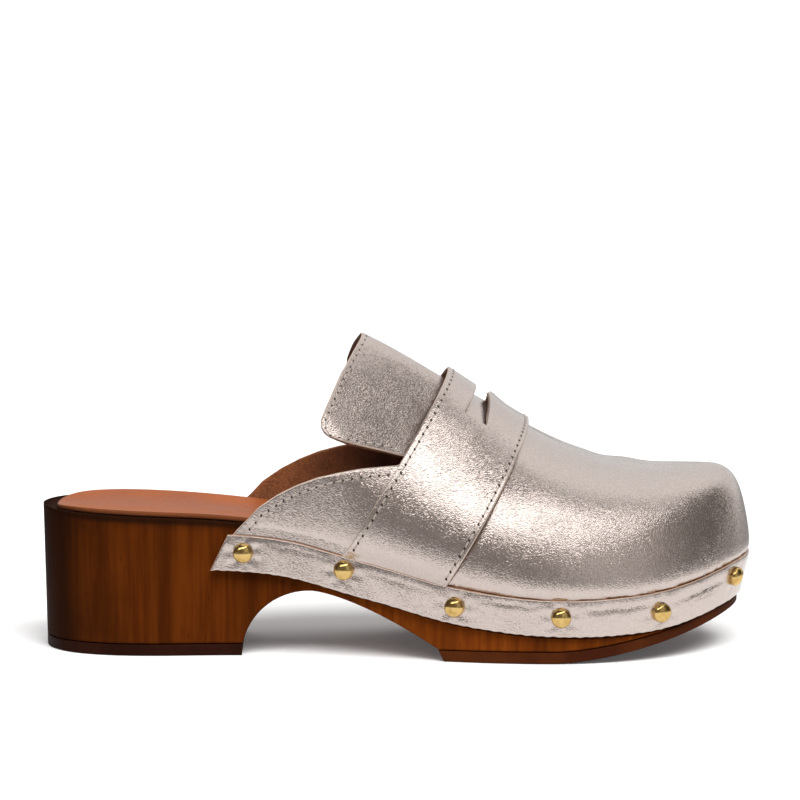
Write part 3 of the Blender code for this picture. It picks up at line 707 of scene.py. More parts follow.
def woodBottom(along):  # flat seat, elliptical breast, long front slope of the hollow, forefoot
    own, gap = soleShape, last["gap"]
    seat = own["heelLift"] + gap
    rear = between(along, own["archTop"], own["breast"])
    front = between(along, own["archTop"], own["padRear"])
    breast = np.maximum(own["archHeight"] * np.sqrt(1 - rear ** 2), seat)
    foot = own["archFoot"] + gap
    slope = foot + (own["archHeight"] - foot) * (1 - front ** own["archFrontPower"])
    hollow = np.where(along < own["archTop"], breast, slope)
    ahead = np.where(along > own["padRear"], padTop(along) + gap, hollow)
    return np.where(along < own["breast"], seat, ahead)


def woodSide(along, side, height, ledge=True):  # leans in behind the rand, stands out below the ledge
    foot, out = edgeAt(edgePlace(along, side))
    shelf = randLow(along) - soleShape["ledgeDrop"]
    inward = soleTop(along, "lean") * (soleTop(along, "edge") - np.maximum(height, shelf))
    if ledge:
        inward = inward + soleShape["sideLean"] * (shelf - height) - soleTop(along, "ledge")
    return np.concatenate((foot - out * inward[:, None], height[:, None]), axis=1)


# a closed loop through corner points: each corner a short curve, each side shared out between the curves
def roundedLoop(corners, rounds, spread):
    before, after = np.roll(corners, 1, axis=1), np.roll(corners, -1, axis=1)
    bow = np.linspace(0, 1, 5)[:, None]

    def towards(other):
        reach = np.linalg.norm(other - corners, axis=-1, keepdims=True)
        return corners + (other - corners) * np.minimum(rounds[None, :, None] / np.maximum(reach, 1e-9), 0.45)

    start, end = towards(before), towards(after)
    curves = ((1 - bow) ** 2 * start[:, :, None] + 2 * bow * (1 - bow) * corners[:, :, None]
              + bow ** 2 * end[:, :, None])
    nextStart = np.roll(start, -1, axis=1)
    shares = np.array(spread)[:, None]
    sides = end[:, :, None] * (1 - shares) + nextStart[:, :, None] * shares
    return np.concatenate((curves, sides), axis=2).reshape(len(corners), -1, 3)


def soleStations():
    own = soleShape
    heel = own["heelRound"] * (1 - np.cos(np.linspace(0, np.pi / 2, 40)))
    near = own["breast"] + np.array((0.0, 0.05, 0.15, 0.35, 0.7, 1.2, 2.0, 3.0, 4.2, 5.6, 7.2, 9.0, 11.0))
    toeRun = own["toeRun"] + (toe - own["toeRun"]) * np.sin(np.linspace(0, np.pi / 2, 46))
    runs = (heel, np.arange(33.0, own["breast"], 2.2), near, np.arange(84.5, own["padRear"], 2.0),
            own["padRear"] + np.array((-0.05, 0.0, 0.3)), np.arange(143.0, own["toeRun"], 2.0), toeRun)
    return np.unique(np.concatenate(runs))


def footbed(along, across):  # the wood's top: dished below the edge line
    low, high = (edgeAt(edgePlace(along, side))[0][..., 1] for side in (outer, inner))
    part = np.clip((2 * across - low - high) / np.maximum(high - low, 0.001), -1, 1)
    return soleTop(along, "edge") - soleTop(along, "dish") * (1 - part ** 2)


def addWood():
    own = soleShape
    along = soleStations()
    shelf = randLow(along) - own["ledgeDrop"]
    low, top = woodBottom(along), soleTop(along, "edge")
    corners = []
    for side in (outer, inner):  # down the outer side and up the inner one
        down = [woodSide(along, side, top, False), woodSide(along, side, shelf, False),
                woodSide(along, side, shelf), woodSide(along, side, low)]
        corners += down if side == outer else down[::-1]
    rounds = [own[key] for key in ("rimRound", "ledgeRound", "ledgeRound", "footRound")]
    spread = (0.03, 0.1, 0.22, 0.36, 0.5, 0.64, 0.78, 0.9, 0.97)
    loop = roundedLoop(np.stack(corners, axis=1), np.array(rounds + rounds[::-1]), spread)
    onTop = np.arange(loop.shape[1]) >= loop.shape[1] - len(spread)
    x = loop[..., 0]
    edge = soleTop(x, "edge")
    loop[..., 2] += np.where(onTop, footbed(x, loop[..., 1]) - edge, 0)
    start, deep = own["darkRim"]
    rim = bell(np.maximum(edge - loop[..., 2] - start, 0), deep)
    # darker round the back of the heel: partly a darker stain, partly painted shade where the heel turns from
    # the light
    rim = np.maximum(rim, own["darkRimBack"][0] * bell(x, own["darkRimBack"][1]))
    # painted light: lighter ahead of the heel, less so towards the toe
    paintedLighter = between(x, *own["paintedLighter"]) * (1 - own["toePaintedLightCut"] * between(x, *own["toePaintedLightCutTurn"]))
    addPiece("woodSole", loop, closedQuads(*loop.shape[:2]), woodLook, ("wood_sole",),
             {"rim": rim, "paintedLighter": paintedLighter}, weld=True)


# a rubber slab between two heights on the wood's sides, closed with a flat face where it ends
def addBlock(name, along, low, high, slant, look, node):
    corners = np.stack((woodSide(along, outer, high), woodSide(along, outer, low),
                        woodSide(along, inner, low), woodSide(along, inner, high)), axis=1)
    corners[:, 1:3, 0] += slant[:, None]
    spread = (0.04, 0.14, 0.32, 0.5, 0.68, 0.86, 0.96)
    loop = roundedLoop(corners, np.full(4, soleShape["rubberRound"]), spread)
    piece = addPiece(name, loop, closedQuads(*loop.shape[:2]), look, (node,), weld=True)
    body = bmesh.new()
    body.from_mesh(piece.data)
    openEdges = [edge for edge in body.edges if edge.is_boundary]
    if openEdges:
        bmesh.ops.holes_fill(body, edges=openEdges, sides=0)
        bmesh.ops.recalc_face_normals(body, faces=body.faces)
        body.to_mesh(piece.data)
    body.free()
    piece.data.set_sharp_from_angle(angle=np.radians(50))


def addRubbers():
    own = soleShape
    along = soleStations()
    heel = np.append(along[along < own["breast"] - 0.1], own["breast"])
    zero = np.zeros(len(heel))
    addBlock("heelTopPiece", heel, zero, zero + own["heelLift"], zero, heelRubberLook,
             "heel_top_piece")
    front = along[along >= own["padRear"]]
    slant = np.where(front < own["padRear"] + 0.01, own["padRearSlant"], 0.0)
    slant[1] = own["padRearSlant"] - 0.3  # the next section stays ahead of the slanted end
    addBlock("forefootOutsole", front, padBottom(front), padTop(front), slant, soleRubberLook,
             "forefoot_outsole")


addWood()
addRubbers()

# leather sock in the footbed: rings that shrink from its cut edge to the middle line of the shoe

sockShape = {
    "thick": 1.6, "inset": (2.8, 2.0), "edge": 0.7, "middle": (34.0, 214.0),
    "swell": 0.35, "swellReach": 6.0, "cutReach": 1.2,
}


def addSock():
    own = sockShape
    place = np.linspace(0, outlineKnots[-1], 420)
    foot, out = edgeAt(place)
    inset = own["inset"][0] + own["inset"][1] * np.maximum(0, -out[:, 0]) ** 2
    rim = foot - out * inset[:, None]
    centre = np.clip(rim[:, 0], *own["middle"])
    mid = (edgeAt(edgePlace(centre, outer))[0][:, 1] + edgeAt(edgePlace(centre, inner))[0][:, 1]) / 2
    inward = np.concatenate((np.array((0.0, 0.002, 0.006, 0.012, 0.02, 0.03)), np.linspace(0.05, 1.0, 22)))
    plan = rim[:, None] + (np.stack((centre, mid), axis=-1)[:, None] - rim[:, None]) * inward[None, :, None]
    height = footbed(plan[..., 0], plan[..., 1]) + last["gap"]
    away = np.linalg.norm(plan - rim[:, None], axis=-1)
    full = quarterRound(away, own["edge"])
    soft = own["swell"] * bell(away, own["swellReach"]) * full
    levels = (height + own["thick"] * (0.5 + 0.5 * full) + soft, height + own["thick"] * (0.5 - 0.5 * full))
    points = [np.concatenate((plan, level[..., None]), axis=-1) for level in levels]
    ids = np.arange(away.size).reshape(away.shape)
    faces = np.concatenate((quads(ids), quads(ids + away.size)[:, ::-1]))
    cut = np.tile(np.clip(1 - away / own["cutReach"], 0, 1).ravel(), 2)
    addPiece("leatherSock", np.stack(points), faces, sockLook, ("insole",), {"cut": cut},
             weld=True)


addSock()

# upper: one wall from under the rand to the ridge, or to the wing's top edge behind the throat

upperShape = {
    "rear": 63.0, "throat": 148.0, "innerRaise": 1.0, "hidden": 2.0,
    "leather": 1.05, "edge": 0.55, "grid": 1.15, "ribLength": 80.0,
    "lining": 0.72, "liningEdge": 0.4, "liningGrid": 2.0, "liningLow": -0.25, "liningGap": 0.02,
    # the free wing stands open at its top
    "wingFlare": 1.6, "wingFlareTurn": (127.0, 106.0), "wingFlareRise": 22.0,
    "topline": table(
        "along height",
        (63.0, 34.9), (66.0, 40.3), (70.0, 45.4), (73.6, 49.0), (77.8, 53.5), (84.7, 58.1), (91.5, 61.5),
        (99.2, 64.4), (106.0, 66.1), (114.6, 67.7), (127.0, 68.9), (134.0, 72.3), (141.0, 79.8),
        (148.0, 92.6)),
    # soft troughs (minus) and ridges pressed into the leather; side 0 stands for both
    "creases": table(
        "along height long wide turn depth side",
        (200.0, 67.0, 5.0, 5.0, 0.0, -0.5, 0.0), (208.5, 65.3, 4.5, 5.0, 0.0, 0.3, 0.0),
        (218.0, 64.0, 6.0, 5.0, 0.0, -0.2, 0.0), (222.0, 56.0, 16.0, 5.0, -8.0, -0.25, -1.0),
        (176.0, 70.0, 12.0, 5.0, -32.0, -0.3, -1.0)),
    "wander": 0.10,
    # the grain is drawn up most low on the vamp, and a little on the wings
    "vampCrush": 0.7, "vampCrushTurn": (160.0, 200.0), "vampCrushBand": (46.0, 13.0),
    "wingCrush": 0.4, "wingCrushTurn": (140.0, 120.0), "wingCrushRise": (50.0, 58.0),
    "paintedLightAtOpening": (122.0, 72.0),  # painted light: the lining is lighter towards the wings' ends, where light reaches into the opening
}


def topline(along):
    return np.interp(along, upperShape["topline"]["along"], upperShape["topline"]["height"])


def upperColumns(spacing):  # outline lengths up the outer side, round the toe and down the inner side
    start = float(edgePlace(upperShape["rear"], outer))
    own = start + (toeLength - start) * steps(toeLength - start, spacing, 0.6, (True, False))
    along = edgeAt(own)[0][:, 0]
    along[-1] = toe
    return np.concatenate((edgePlace(along, outer), edgePlace(along[::-1][1:], inner)))


def ribGrid(place, low, high, shares):  # girths at even lengths along each rib
    start = low[:, None] + (high - low)[:, None] * np.linspace(0, 1, 90)
    run, _ = arcs(skin(place[:, None], start), 1)
    return np.array([np.interp(shares * r[-1], r, g) for r, g in zip(run, start)])


def creaseLift(points, side):  # each crease is a stretched bell over the leather
    total = np.zeros(points.shape[:-1])
    rows = upperShape["creases"]
    for i in range(len(rows["along"])):
        turn = np.radians(rows["turn"][i])
        dx, dz = points[..., 0] - rows["along"][i], points[..., 2] - rows["height"][i]
        a = (dx * np.cos(turn) + dz * np.sin(turn)) / rows["long"][i]
        b = (dz * np.cos(turn) - dx * np.sin(turn)) / rows["wide"][i]
        here = (rows["side"][i] == 0) | (side == rows["side"][i])
        total += rows["depth"][i] * np.exp(-a ** 2 - b ** 2) * here
    return total


def openWing(place, points):
    own = upperShape
    foot, out = edgeAt(place)
    free = between(foot[..., 0], *own["wingFlareTurn"])
    up = np.clip((points[..., 2] - soleTop(foot[..., 0], "edge")) / own["wingFlareRise"], 0, 1)
    moved = points.copy()
    moved[..., :2] += out * (own["wingFlare"] * free * up ** 2)[..., None]
    return moved


def upperGrid(spacing, lowest=None):
    own = upperShape
    place = upperColumns(spacing)
    along = edgeAt(place)[0][:, 0]
    side = np.where(place > toeLength, inner, outer)
    joined = along >= own["throat"] - 1e-6
    high = np.where(joined, 1.0, girthAt(place, topline(along) + own["innerRaise"] * (side == inner)))
    low = girthAt(place, randLow(along) + own["hidden"])
    if lowest is not None:
        low = np.maximum(low, np.minimum(lowest, high - 0.3))
    girth = ribGrid(place, low, np.maximum(high, low + 0.02), steps(own["ribLength"], spacing, own["edge"]))
    points = openWing(place[:, None], skin(place[:, None], girth))
    lift = creaseLift(points, side[:, None])
    calm = np.clip(girth * 4, 0, 1) * np.clip(4 - 4 * girth, 0, 1)  # no wander at the wood and on the ridge
    lift += own["wander"] * wave(place[:, None] + 31.0 * girth, 37.0, 5) * calm
    return points + gridNormals(points) * lift[..., None], joined


def addUpper():
    own = upperShape
    points, joined = upperGrid(own["grid"])
    x, z = points[..., 0], points[..., 2]
    middle, wide = own["vampCrushBand"]
    crushed = own["vampCrush"] * between(x, *own["vampCrushTurn"]) * bell(z - middle, wide)
    crushed += own["wingCrush"] * between(x, *own["wingCrushTurn"]) * between(z, *own["wingCrushRise"])
    addSheet("upperLeather", points, own["leather"], own["edge"], foilLook, ("upper",),
             joined, {"crushed": crushed})
    points, joined = upperGrid(own["liningGrid"], own["liningLow"])
    inside = points - gridNormals(points) * (own["leather"] + own["liningGap"])
    addSheet("upperLining", inside, own["lining"], own["liningEdge"], suedeLook, (), joined,
             {"paintedLighter": between(inside[..., 0], *own["paintedLightAtOpening"])})


addUpper()

# tongue: a flap in the upper's own layer, cut on a slant at its free end and tucked under the strap

tongueShape = {
    "leather": 1.1, "edge": 0.55, "grid": 0.9, "width": 92.0, "length": 34.0, "crushed": 0.45,
    "lining": 0.85, "liningEdge": 0.4, "liningGap": 0.02,
    "innerTrim": 7.0, "innerTrimTurn": (0.08, 0.88), "innerRaise": 1.0,  # the inner free end is cut back
    "tilt": 41.0, "cap": 5.0, "softness": 1.2,  # sides lean evenly from a round ridge
    "splay": (0.08, 0.0038), "splayStart": (136.0, 124.0), "splayDrop": 12.0,  # they open to the free end
    "flare": 9.0, "flareTurn": (0.88, 0.18), "room": 1.0,  # the free low edges stand out
    "end": table("height along", (79.3, 104.2), (79.9, 102.2), (81.2, 100.7), (82.9, 99.9), (85.3, 99.9),
                 (87.3, 100.8), (92.5, 103.2), (100.3, 106.8), (106.5, 110.5), (111.7, 114.1)),
    "low": table("along height", (99.9, 80.5), (103.2, 79.5), (106.8, 78.3), (110.5, 77.2), (114.1, 76.2),
                 (120.5, 74.4), (127.0, 72.4), (140.0, 69.0)),
    "tucked": (150.0, 131.0),  # how far forward it reaches under the strap, at the ridge and at its low edge
}


def tongueTent(drop):  # section from the ridge down: the slope settles to an even lean past the cap
    step = 0.05
    run = np.arange(0.0, 70.0, step)
    tilt = tongueShape["tilt"]
    lean = np.radians(tilt + (90 - tilt) * np.exp(-run / tongueShape["cap"]))
    return np.interp(drop, np.cumsum(np.cos(lean)) * step, np.cumsum(np.sin(lean)) * step, left=0.0)


def tongueGrid():
    own = tongueShape
    across = 2 * steps(own["width"], own["grid"], own["edge"]) - 1
    along = steps(own["length"], own["grid"], own["edge"])[:, None]
    share = np.abs(across)[None, :]  # 0 on the ridge, 1 on the low edge
    side = np.sign(across)[None, :]
    endHeight = partWay(own["end"]["height"][[-1, 0]], share)
    trim = own["innerTrim"] * eased(between(share, *own["innerTrimTurn"])) * (side > 0)
    end = np.interp(endHeight, own["end"]["height"], own["end"]["along"]) + trim
    x = end + (partWay(own["tucked"], share) - end) * along
    place = np.where(side <= 0, edgePlace(x, outer), edgePlace(x, inner))

    def lowEdge(at, which, raised):  # girths of the low edge on one side
        height = np.interp(at, own["low"]["along"], own["low"]["height"]) + raised
        return girthAt(edgePlace(at, which), height)[:, None]

    lowGirth = np.where(side <= 0, lowEdge(x[:, 0], outer, 0.0), lowEdge(x[:, -1], inner, own["innerRaise"]))
    startGirth = np.where(share < 1e-6, 1.0, girthAt(place[:1], endHeight + own["innerRaise"] * (side > 0)))
    first = (1 - startGirth) / np.maximum(1 - lowGirth[:1], 1e-6)
    girth = 1 - (1 - lowGirth) * (first * (1 - eased(along)) + share * eased(along))
    points = skin(place, np.clip(girth, 0, 1))
    # the flap takes whichever is nearer to the middle, the tent or the last with room to flare
    middle = ridge(points[..., 0], "across")
    drop = ridge(points[..., 0], "height") - points[..., 2]
    back = [np.maximum(start - points[..., 0], 0) for start in own["splayStart"]]
    opened = own["splay"][0] * back[0] + own["splay"][1] * back[1] ** 2
    tent = tongueTent(drop) + opened * np.clip(drop / own["splayDrop"], 0, 1)
    loose = eased(between(along, *own["flareTurn"]))
    reach = np.abs(points[..., 1] - middle) + own["room"] + own["flare"] * loose
    nearer = -np.logaddexp(-own["softness"] * tent, -own["softness"] * reach) / own["softness"]
    points[..., 1] = middle + np.where(side < 0, -1, 1) * nearer
    return points


def addTongue():
    own = tongueShape
    points = tongueGrid()
    addSheet("tongueLeather", points, own["leather"], own["edge"], foilLook, ("tongue",),
             None, {"crushed": np.full(points.shape[:2], own["crushed"])})
    within = points[1:-1, 1:-1]
    inside = within - gridNormals(within) * (own["leather"] + own["liningGap"])
    addSheet("tongueLining", inside, own["lining"], own["liningEdge"], suedeLook)
    return points


tonguePoints = addTongue()

# saddle strap: its edges look straight from the side; a slot crosses its middle, its front lip curling up

strapShape = {
    "wall": 1.35, "edge": 0.45, "crowd": 0.5, "grid": (1.1, 1.0),
    "foot": 0.4, "footTurn": (0.02, 0.09), "tuck": 1.2,  # pared thin at its foot, which slips behind the rand
    "rear": (106.6, 142.6), "front": (143.6, 172.7), "bow": 0.86, "curve": 2.2,
    "bulge": 1.6, "bulgeAt": 0.28, "lift": 2.2, "liftPower": 1.6,
    "limb": 52.0, "slotLength": 24.0, "bands": (11.5, 5.0, 15.0),  # behind the slot, across and ahead of it
    "slotRear": (0.35, 0.33), "slotFront": (0.495, 0.58), "slotHalf": 0.3125,
    "lipLift": 0.9, "lipWide": 0.12, "frontLift": 0.35, "frontTurn": (0.8, 1.0), "frontPower": 6,
}


def strapRise(part):
    return np.sin((1 - np.abs(part)) * np.pi / 2) ** (2 / strapShape["curve"])


def strapWall(part):
    own = strapShape
    return own["wall"] * partWay((own["foot"], 1.0), eased(between(strapRise(part), *own["footTurn"])))


# the strap's inner face: share runs from its rear to its front edge, part from the outer rand to the inner
# one; it is tucked in towards the rand, fullest about a quarter of the way up, and its rear edge stands off
def strapAt(share, part):
    own = strapShape
    rise = strapRise(part)
    start, end = (partWay((rear, front), share) for rear, front in zip(own["rear"], own["front"]))
    x = start + (end - start) * rise ** own["bow"]
    place = np.where(part > 0, edgePlace(x, inner), edgePlace(x, outer))
    low = soleTop(start, "randTop") - own["tuck"]
    girth = np.where(np.abs(part) < 1e-9, 1.0, girthAt(place, low + (ridge(end, "height") - low) * rise))
    bulge = own["bulge"] * rise / own["bulgeAt"] * np.exp(1 - rise / own["bulgeAt"])
    stand = last["gap"] + bulge + own["lift"] * (1 - share) * rise ** own["liftPower"]
    reach = np.clip(np.abs(part) / own["slotHalf"], 0, 1)
    lip = partWay(own["slotFront"], reach)
    curl = bell(np.clip(share - lip, 0, 3 * own["lipWide"]), own["lipWide"]) * (share >= lip - 1e-6)
    stand = stand + own["lipLift"] * curl * (1 - reach ** 2) ** 2
    stand = stand + own["frontLift"] * between(share, *own["frontTurn"]) ** 2 * rise ** own["frontPower"]
    return skin(place, girth) + outward(place, girth) * stand[..., None]


def strapGrid():
    own = strapShape
    half = own["slotHalf"]
    low = -1 + (1 - half) * steps(own["limb"], own["grid"][0], own["crowd"])
    slot = -half + half * steps(own["slotLength"], own["grid"][0], own["crowd"], (True, False))
    part = np.concatenate((low, slot[1:]))
    part = np.concatenate((part, -part[::-1][1:]))
    reach = np.clip(np.abs(part) / half, 0, 1)[:, None]
    edges = (0.0, partWay(own["slotRear"], reach), partWay(own["slotFront"], reach), 1.0)
    bands = [start + (end - start) * steps(width, own["grid"][1], own["edge"])
             for start, end, width in zip(edges, edges[1:], own["bands"])]
    share = np.concatenate([band if i == 0 else band[:, 1:] for i, band in enumerate(bands)], axis=1).T
    first = bands[0].shape[1] - 1
    rowsOpen = np.where(np.abs(part) <= half + 1e-9)[0]
    slotRows = (first, first + bands[1].shape[1] - 1)  # rows of the slot's two edges
    return share, np.broadcast_to(part, share.shape), slotRows, (rowsOpen[0], rowsOpen[-1])


def addStrap():
    own = strapShape
    share, part, (slotA, slotB), (partA, partB) = strapGrid()
    inside = strapAt(share, part)
    normal = gridNormals(inside)
    wall = strapWall(part)
    points = inside + normal * wall[..., None]
    runA, runB, away, above = edgesAway(points)
    beside = np.maximum(0, np.maximum(runA[slotA] - runA, runA - runA[slotB]))
    beyond = np.maximum(0, np.maximum(runB[:, [partA]] - runB, runB - runB[:, [partB]]))
    away = np.minimum(np.minimum(away, above), np.hypot(beside, beyond))
    ids = np.arange(share.size).reshape(share.shape)
    backIds = np.where(away < 1e-6, ids, ids + share.size)
    keep = np.ones((share.shape[0] - 1, share.shape[1] - 1), bool)
    keep[slotA:slotB, partA:partB] = False
    closeSheet("saddleStrap", points, normal, wall, away, own["edge"], (ids, backIds), keep.ravel(),
               foilLook, ("saddle_strap",))


addStrap()

# rand: a strip nailed round the wood's edge, puckered round the nails and folded between them near the toe

randShape = {
    "wall": 1.5, "edge": 0.4, "grid": (0.9, 0.55), "width": 13.0,
    "rear": (60.3, 66.6), "slantReach": 14.0,  # rear ends cut on a slant: the top starts later
    "ragged": 0.18, "topWander": 0.05, "wander": 0.06, "foldWander": 0.35,
    "press": 0.3, "pressReach": 1.6, "skive": 0.2, "skiveReach": 2.2,  # pressed in and thinner at its top
    "pull": 0.4, "pullReach": 4.6, "pucker": 0.12, "puckerCount": 7, "puckerRing": (5.4, 1.6),
    "nails": table("place raise", (20.6, 1.6), (57.9, -0.6), (93.2, 0.5), (130.0, -0.3), (170.2, 1.8),
                   (206.7, 0.3)),
    # folds pressed into the strip: from and to, measured from the toe's tip; share of its height, depth
    "folds": table("start end share wide depth", (25.0, 53.0, 0.66, 1.1, 0.60), (62.0, 86.0, 0.72, 1.1, 0.52),
                   (27.0, 48.0, 0.50, 0.6, 0.16), (34.0, 51.0, 0.80, 0.5, 0.16),
                   (98.0, 122.0, 0.80, 0.9, 0.22), (136.0, 162.0, 0.74, 1.0, 0.16),
                   (174.0, 200.0, 0.80, 0.9, 0.16)),
    "foldCrush": (3.0, 1.7),  # grain drawn up along a fold: for its depth, and how much wider
}


def nailPlaces():
    rows = []
    for side in (outer, inner):
        for away, raised in zip(randShape["nails"]["place"], randShape["nails"]["raise"]):
            place = toeLength + side * away
            x = edgeAt(np.array(place))[0][0]
            rows.append((place, (randLow(x) + soleTop(x, "randTop")) / 2 + raised))
    return np.array(rows)


def randGrid():
    own = randShape
    start, end = (float(edgePlace(own["rear"][0], side)) for side in (outer, inner))
    place = start + (end - start) * steps(end - start, own["grid"][0], own["edge"])
    shares = steps(own["width"], own["grid"][1], own["edge"])
    slant = own["rear"][1] - own["rear"][0]
    fades = [np.clip(1 - far / own["slantReach"], 0, 1) for far in (place - start, end - place)]
    places = place[:, None] + slant * shares[None] * (fades[0] - fades[1])[:, None]
    x = edgeAt(places)[0][..., 0]
    low = randLow(x) + own["ragged"] * wave(place, 5.0, 11)[:, None]
    high = soleTop(x, "randTop") + own["topWander"] * wave(place, 9.0, 3)[:, None]
    height = low + (high - low) * shares[None]
    girth = np.minimum(girthAt(places, height), -0.01)  # straight, also where it stands above the wood's edge
    base = skin(places, girth)
    raised = height - base[..., 2]
    base = base + outward(places, girth) * (last["gap"] + own["wall"])
    base[..., 2] += raised
    lift, crushed = np.zeros(places.shape), np.zeros(places.shape)
    ring, wide = own["puckerRing"]
    for spot, level in nailPlaces():
        near = np.hypot(places - spot, height - level)
        angle = np.arctan2(height - level, places - spot)
        lift -= own["pull"] * bell(near, own["pullReach"])
        lift += own["pucker"] * np.cos(own["puckerCount"] * angle + spot) * bell(near - ring, wide)
    rows = own["folds"]
    crush, wider = own["foldCrush"]
    for side in (outer, inner):
        away = (places - toeLength) * side
        for i in range(len(rows["start"])):
            middle, half = (rows["start"][i] + rows["end"][i]) / 2, (rows["end"][i] - rows["start"][i]) / 2
            level = low + (high - low) * rows["share"][i] + own["foldWander"] * wave(places, 7.0, 20 + i)
            depth = rows["depth"][i] * np.clip(1 - ((away - middle) / half) ** 2, 0, 1)
            lift -= depth * bell(height - level, rows["wide"][i])
            crushed += crush * depth * bell(height - level, wider * rows["wide"][i])
    lift += own["wander"] * wave(places + 0.8 * height, 17.0, 8)
    lift -= own["press"] * bell(high - height, own["pressReach"])
    return base + gridNormals(base) * lift[..., None], np.clip(crushed, 0, 1)


def addRand():
    own = randShape
    points, crushed = randGrid()
    wall = own["wall"] - own["skive"] * bell(arcs(points, 1)[1], own["skiveReach"])
    addSheet("leatherRand", points, wall, own["edge"], randLook, ("rand",), None,
             {"crushed": crushed})


addRand()

# nails: a domed head spun round its axis, with a small shoulder that presses into the rand

nailShape = {
    "radius": 3.5, "height": 2.5, "shoulder": 0.35, "sunk": 0.9, "taper": 0.5,
    "turns": 32, "rings": 12,
}


def addNails():
    own = nailShape
    rise = np.linspace(0, np.pi / 2, own["rings"])
    dome = own["shoulder"] + (own["height"] - own["shoulder"]) * np.cos(rise)[1:]
    radius = np.concatenate(([0.0], own["radius"] * np.sin(rise)[1:],
                             [own["radius"], own["radius"] - own["taper"], 0.0]))
    level = np.concatenate(([own["height"]], dome, [0.0, -own["sunk"], -own["sunk"]]))
    turn = np.linspace(0, 2 * np.pi, own["turns"], endpoint=False)[:, None, None]
    faces = closedQuads(own["turns"], len(radius), 0)
    perSide = len(randShape["nails"]["place"])
    for index, (place, height) in enumerate(nailPlaces()):
        place = np.array(place)
        girth = girthAt(place, height)
        axis = outward(place, girth)
        centre = skin(place, girth) + axis * (2 * last["gap"] + randShape["wall"])
        sideways = unit(np.cross((0.0, 0.0, 1.0), axis))
        spoke = sideways * np.cos(turn) + np.cross(axis, sideways) * np.sin(turn)
        points = centre + axis * level[None, :, None] + spoke * radius[None, :, None]
        side, number = ("outer", "inner")[index // perSide], str(index % perSide + 1)
        node = "stud_" + side + "_" + number
        addPiece("nail" + side.title() + number, points, faces, brassLook, (node,), weld=True)


addNails()

# sewing: a thread between each pair of needle holes, dipping into them, and at each end a dark lens of
# painted shade that stands for the hole

sewing = {
    "pitch": 3.3, "radius": 0.28, "rise": 0.16, "sunk": 0.12, "rings": 7, "sides": 8,
    "hole": (0.62, 0.42), "slant": 0.5, "rim": 10,
    "lens": ((0.0, 0.07), (0.7, 0.055), (1.0, 0.0), (0.7, -0.1), (0.0, -0.12)),  # share of the radius, height
    "strapInset": (2.1, 1.7), "strapReach": 0.962,
    "wingRun": (74.5, 124.0), "wingInset": 3.0, "wingHole": 0.9,
    "tongueInset": 2.1, "tongueReach": 26.0, "tongueHole": 0.75,
}


def evenly(path, values):  # values at even stitch lengths along a path
    run = np.concatenate(([0.0], np.cumsum(np.linalg.norm(np.diff(path, axis=0), axis=1))))
    count = max(2, int(round(run[-1] / sewing["pitch"])))
    at = np.linspace(0, run[-1], count + 1)
    return np.stack([np.interp(at, run, values[:, k]) for k in range(3)], axis=1)


def repeated(faces, count, size):  # the same faces for each copy of a small shape
    return (faces[None] + size * np.arange(count)[:, None, None]).reshape(-1, 4)


def addThread(name, spots, ups):  # each stitch is a tube, thin at both ends, that rises between its holes
    own = sewing
    rings, sides = own["rings"], own["sides"]
    head = np.concatenate([spot[:-1] for spot in spots])
    run = np.concatenate([np.diff(spot, axis=0) for spot in spots])
    up = np.concatenate([(one[:-1] + one[1:]) / 2 for one in ups])
    part = np.linspace(0.10, 0.90, rings)
    thin = np.sin(np.pi * np.linspace(0.06, 0.94, rings)) ** 0.4
    turn = np.linspace(0, 2 * np.pi, sides, endpoint=False)[:, None]
    level = own["rise"] * np.sin(np.pi * (part - 0.1) / 0.8) - own["sunk"]
    centre = head[:, None] + run[:, None] * part[None, :, None] + up[:, None] * level[None, :, None]
    ring = unit(np.cross(up, run))[:, None, None] * np.cos(turn) + up[:, None, None] * np.sin(turn)
    points = centre[:, :, None] + ring * (own["radius"] * thin)[None, :, None, None]
    ids = np.arange(rings * sides).reshape(rings, sides)
    fan = [[0, k, k + 1, k + 2] for k in range(1, sides - 1, 2)]
    caps = np.concatenate([end[fan] for end in (ids[0][::-1], ids[-1])])
    faces = [repeated(one, len(head), ids.size) for one in (closedQuads(rings, sides), caps)]
    addPiece(name, points, np.concatenate(faces), threadLook)


def addHoles(name, spots, ups, scale):  # painted shade for the needle holes: thin dark lenses lying on the leather, turned on a slant
    own = sewing
    spot, up = np.concatenate(spots), np.concatenate(ups)
    across = unit(np.cross(up, np.concatenate([np.gradient(one, axis=0) for one in spots])))
    run = np.cross(across, up)
    turn = np.linspace(0, 2 * np.pi, own["rim"], endpoint=False)[:, None]
    side = (run * np.cos(own["slant"]) + across * np.sin(own["slant"])) * own["hole"][0]
    other = (across * np.cos(own["slant"]) - run * np.sin(own["slant"])) * own["hole"][1]
    ring = (side[:, None] * np.cos(turn) + other[:, None] * np.sin(turn)) * scale
    layers = [spot[:, None] + up[:, None] * high + ring * wide for wide, high in own["lens"]]
    rows, cols = own["rim"], len(layers)
    faces = repeated(closedQuads(rows, cols, 0), len(spot), rows * cols)
    addPiece(name, np.stack(layers, axis=2), faces, holeShadeLook, weld=True)


def addSewing(name, paths, normals, holeScale=1.0):
    spots = [evenly(path, path) for path in paths]
    ups = [unit(evenly(path, normal)) for path, normal in zip(paths, normals)]
    addThread(name + "Thread", spots, ups)
    addHoles(name + "Holes", spots, ups, holeScale)


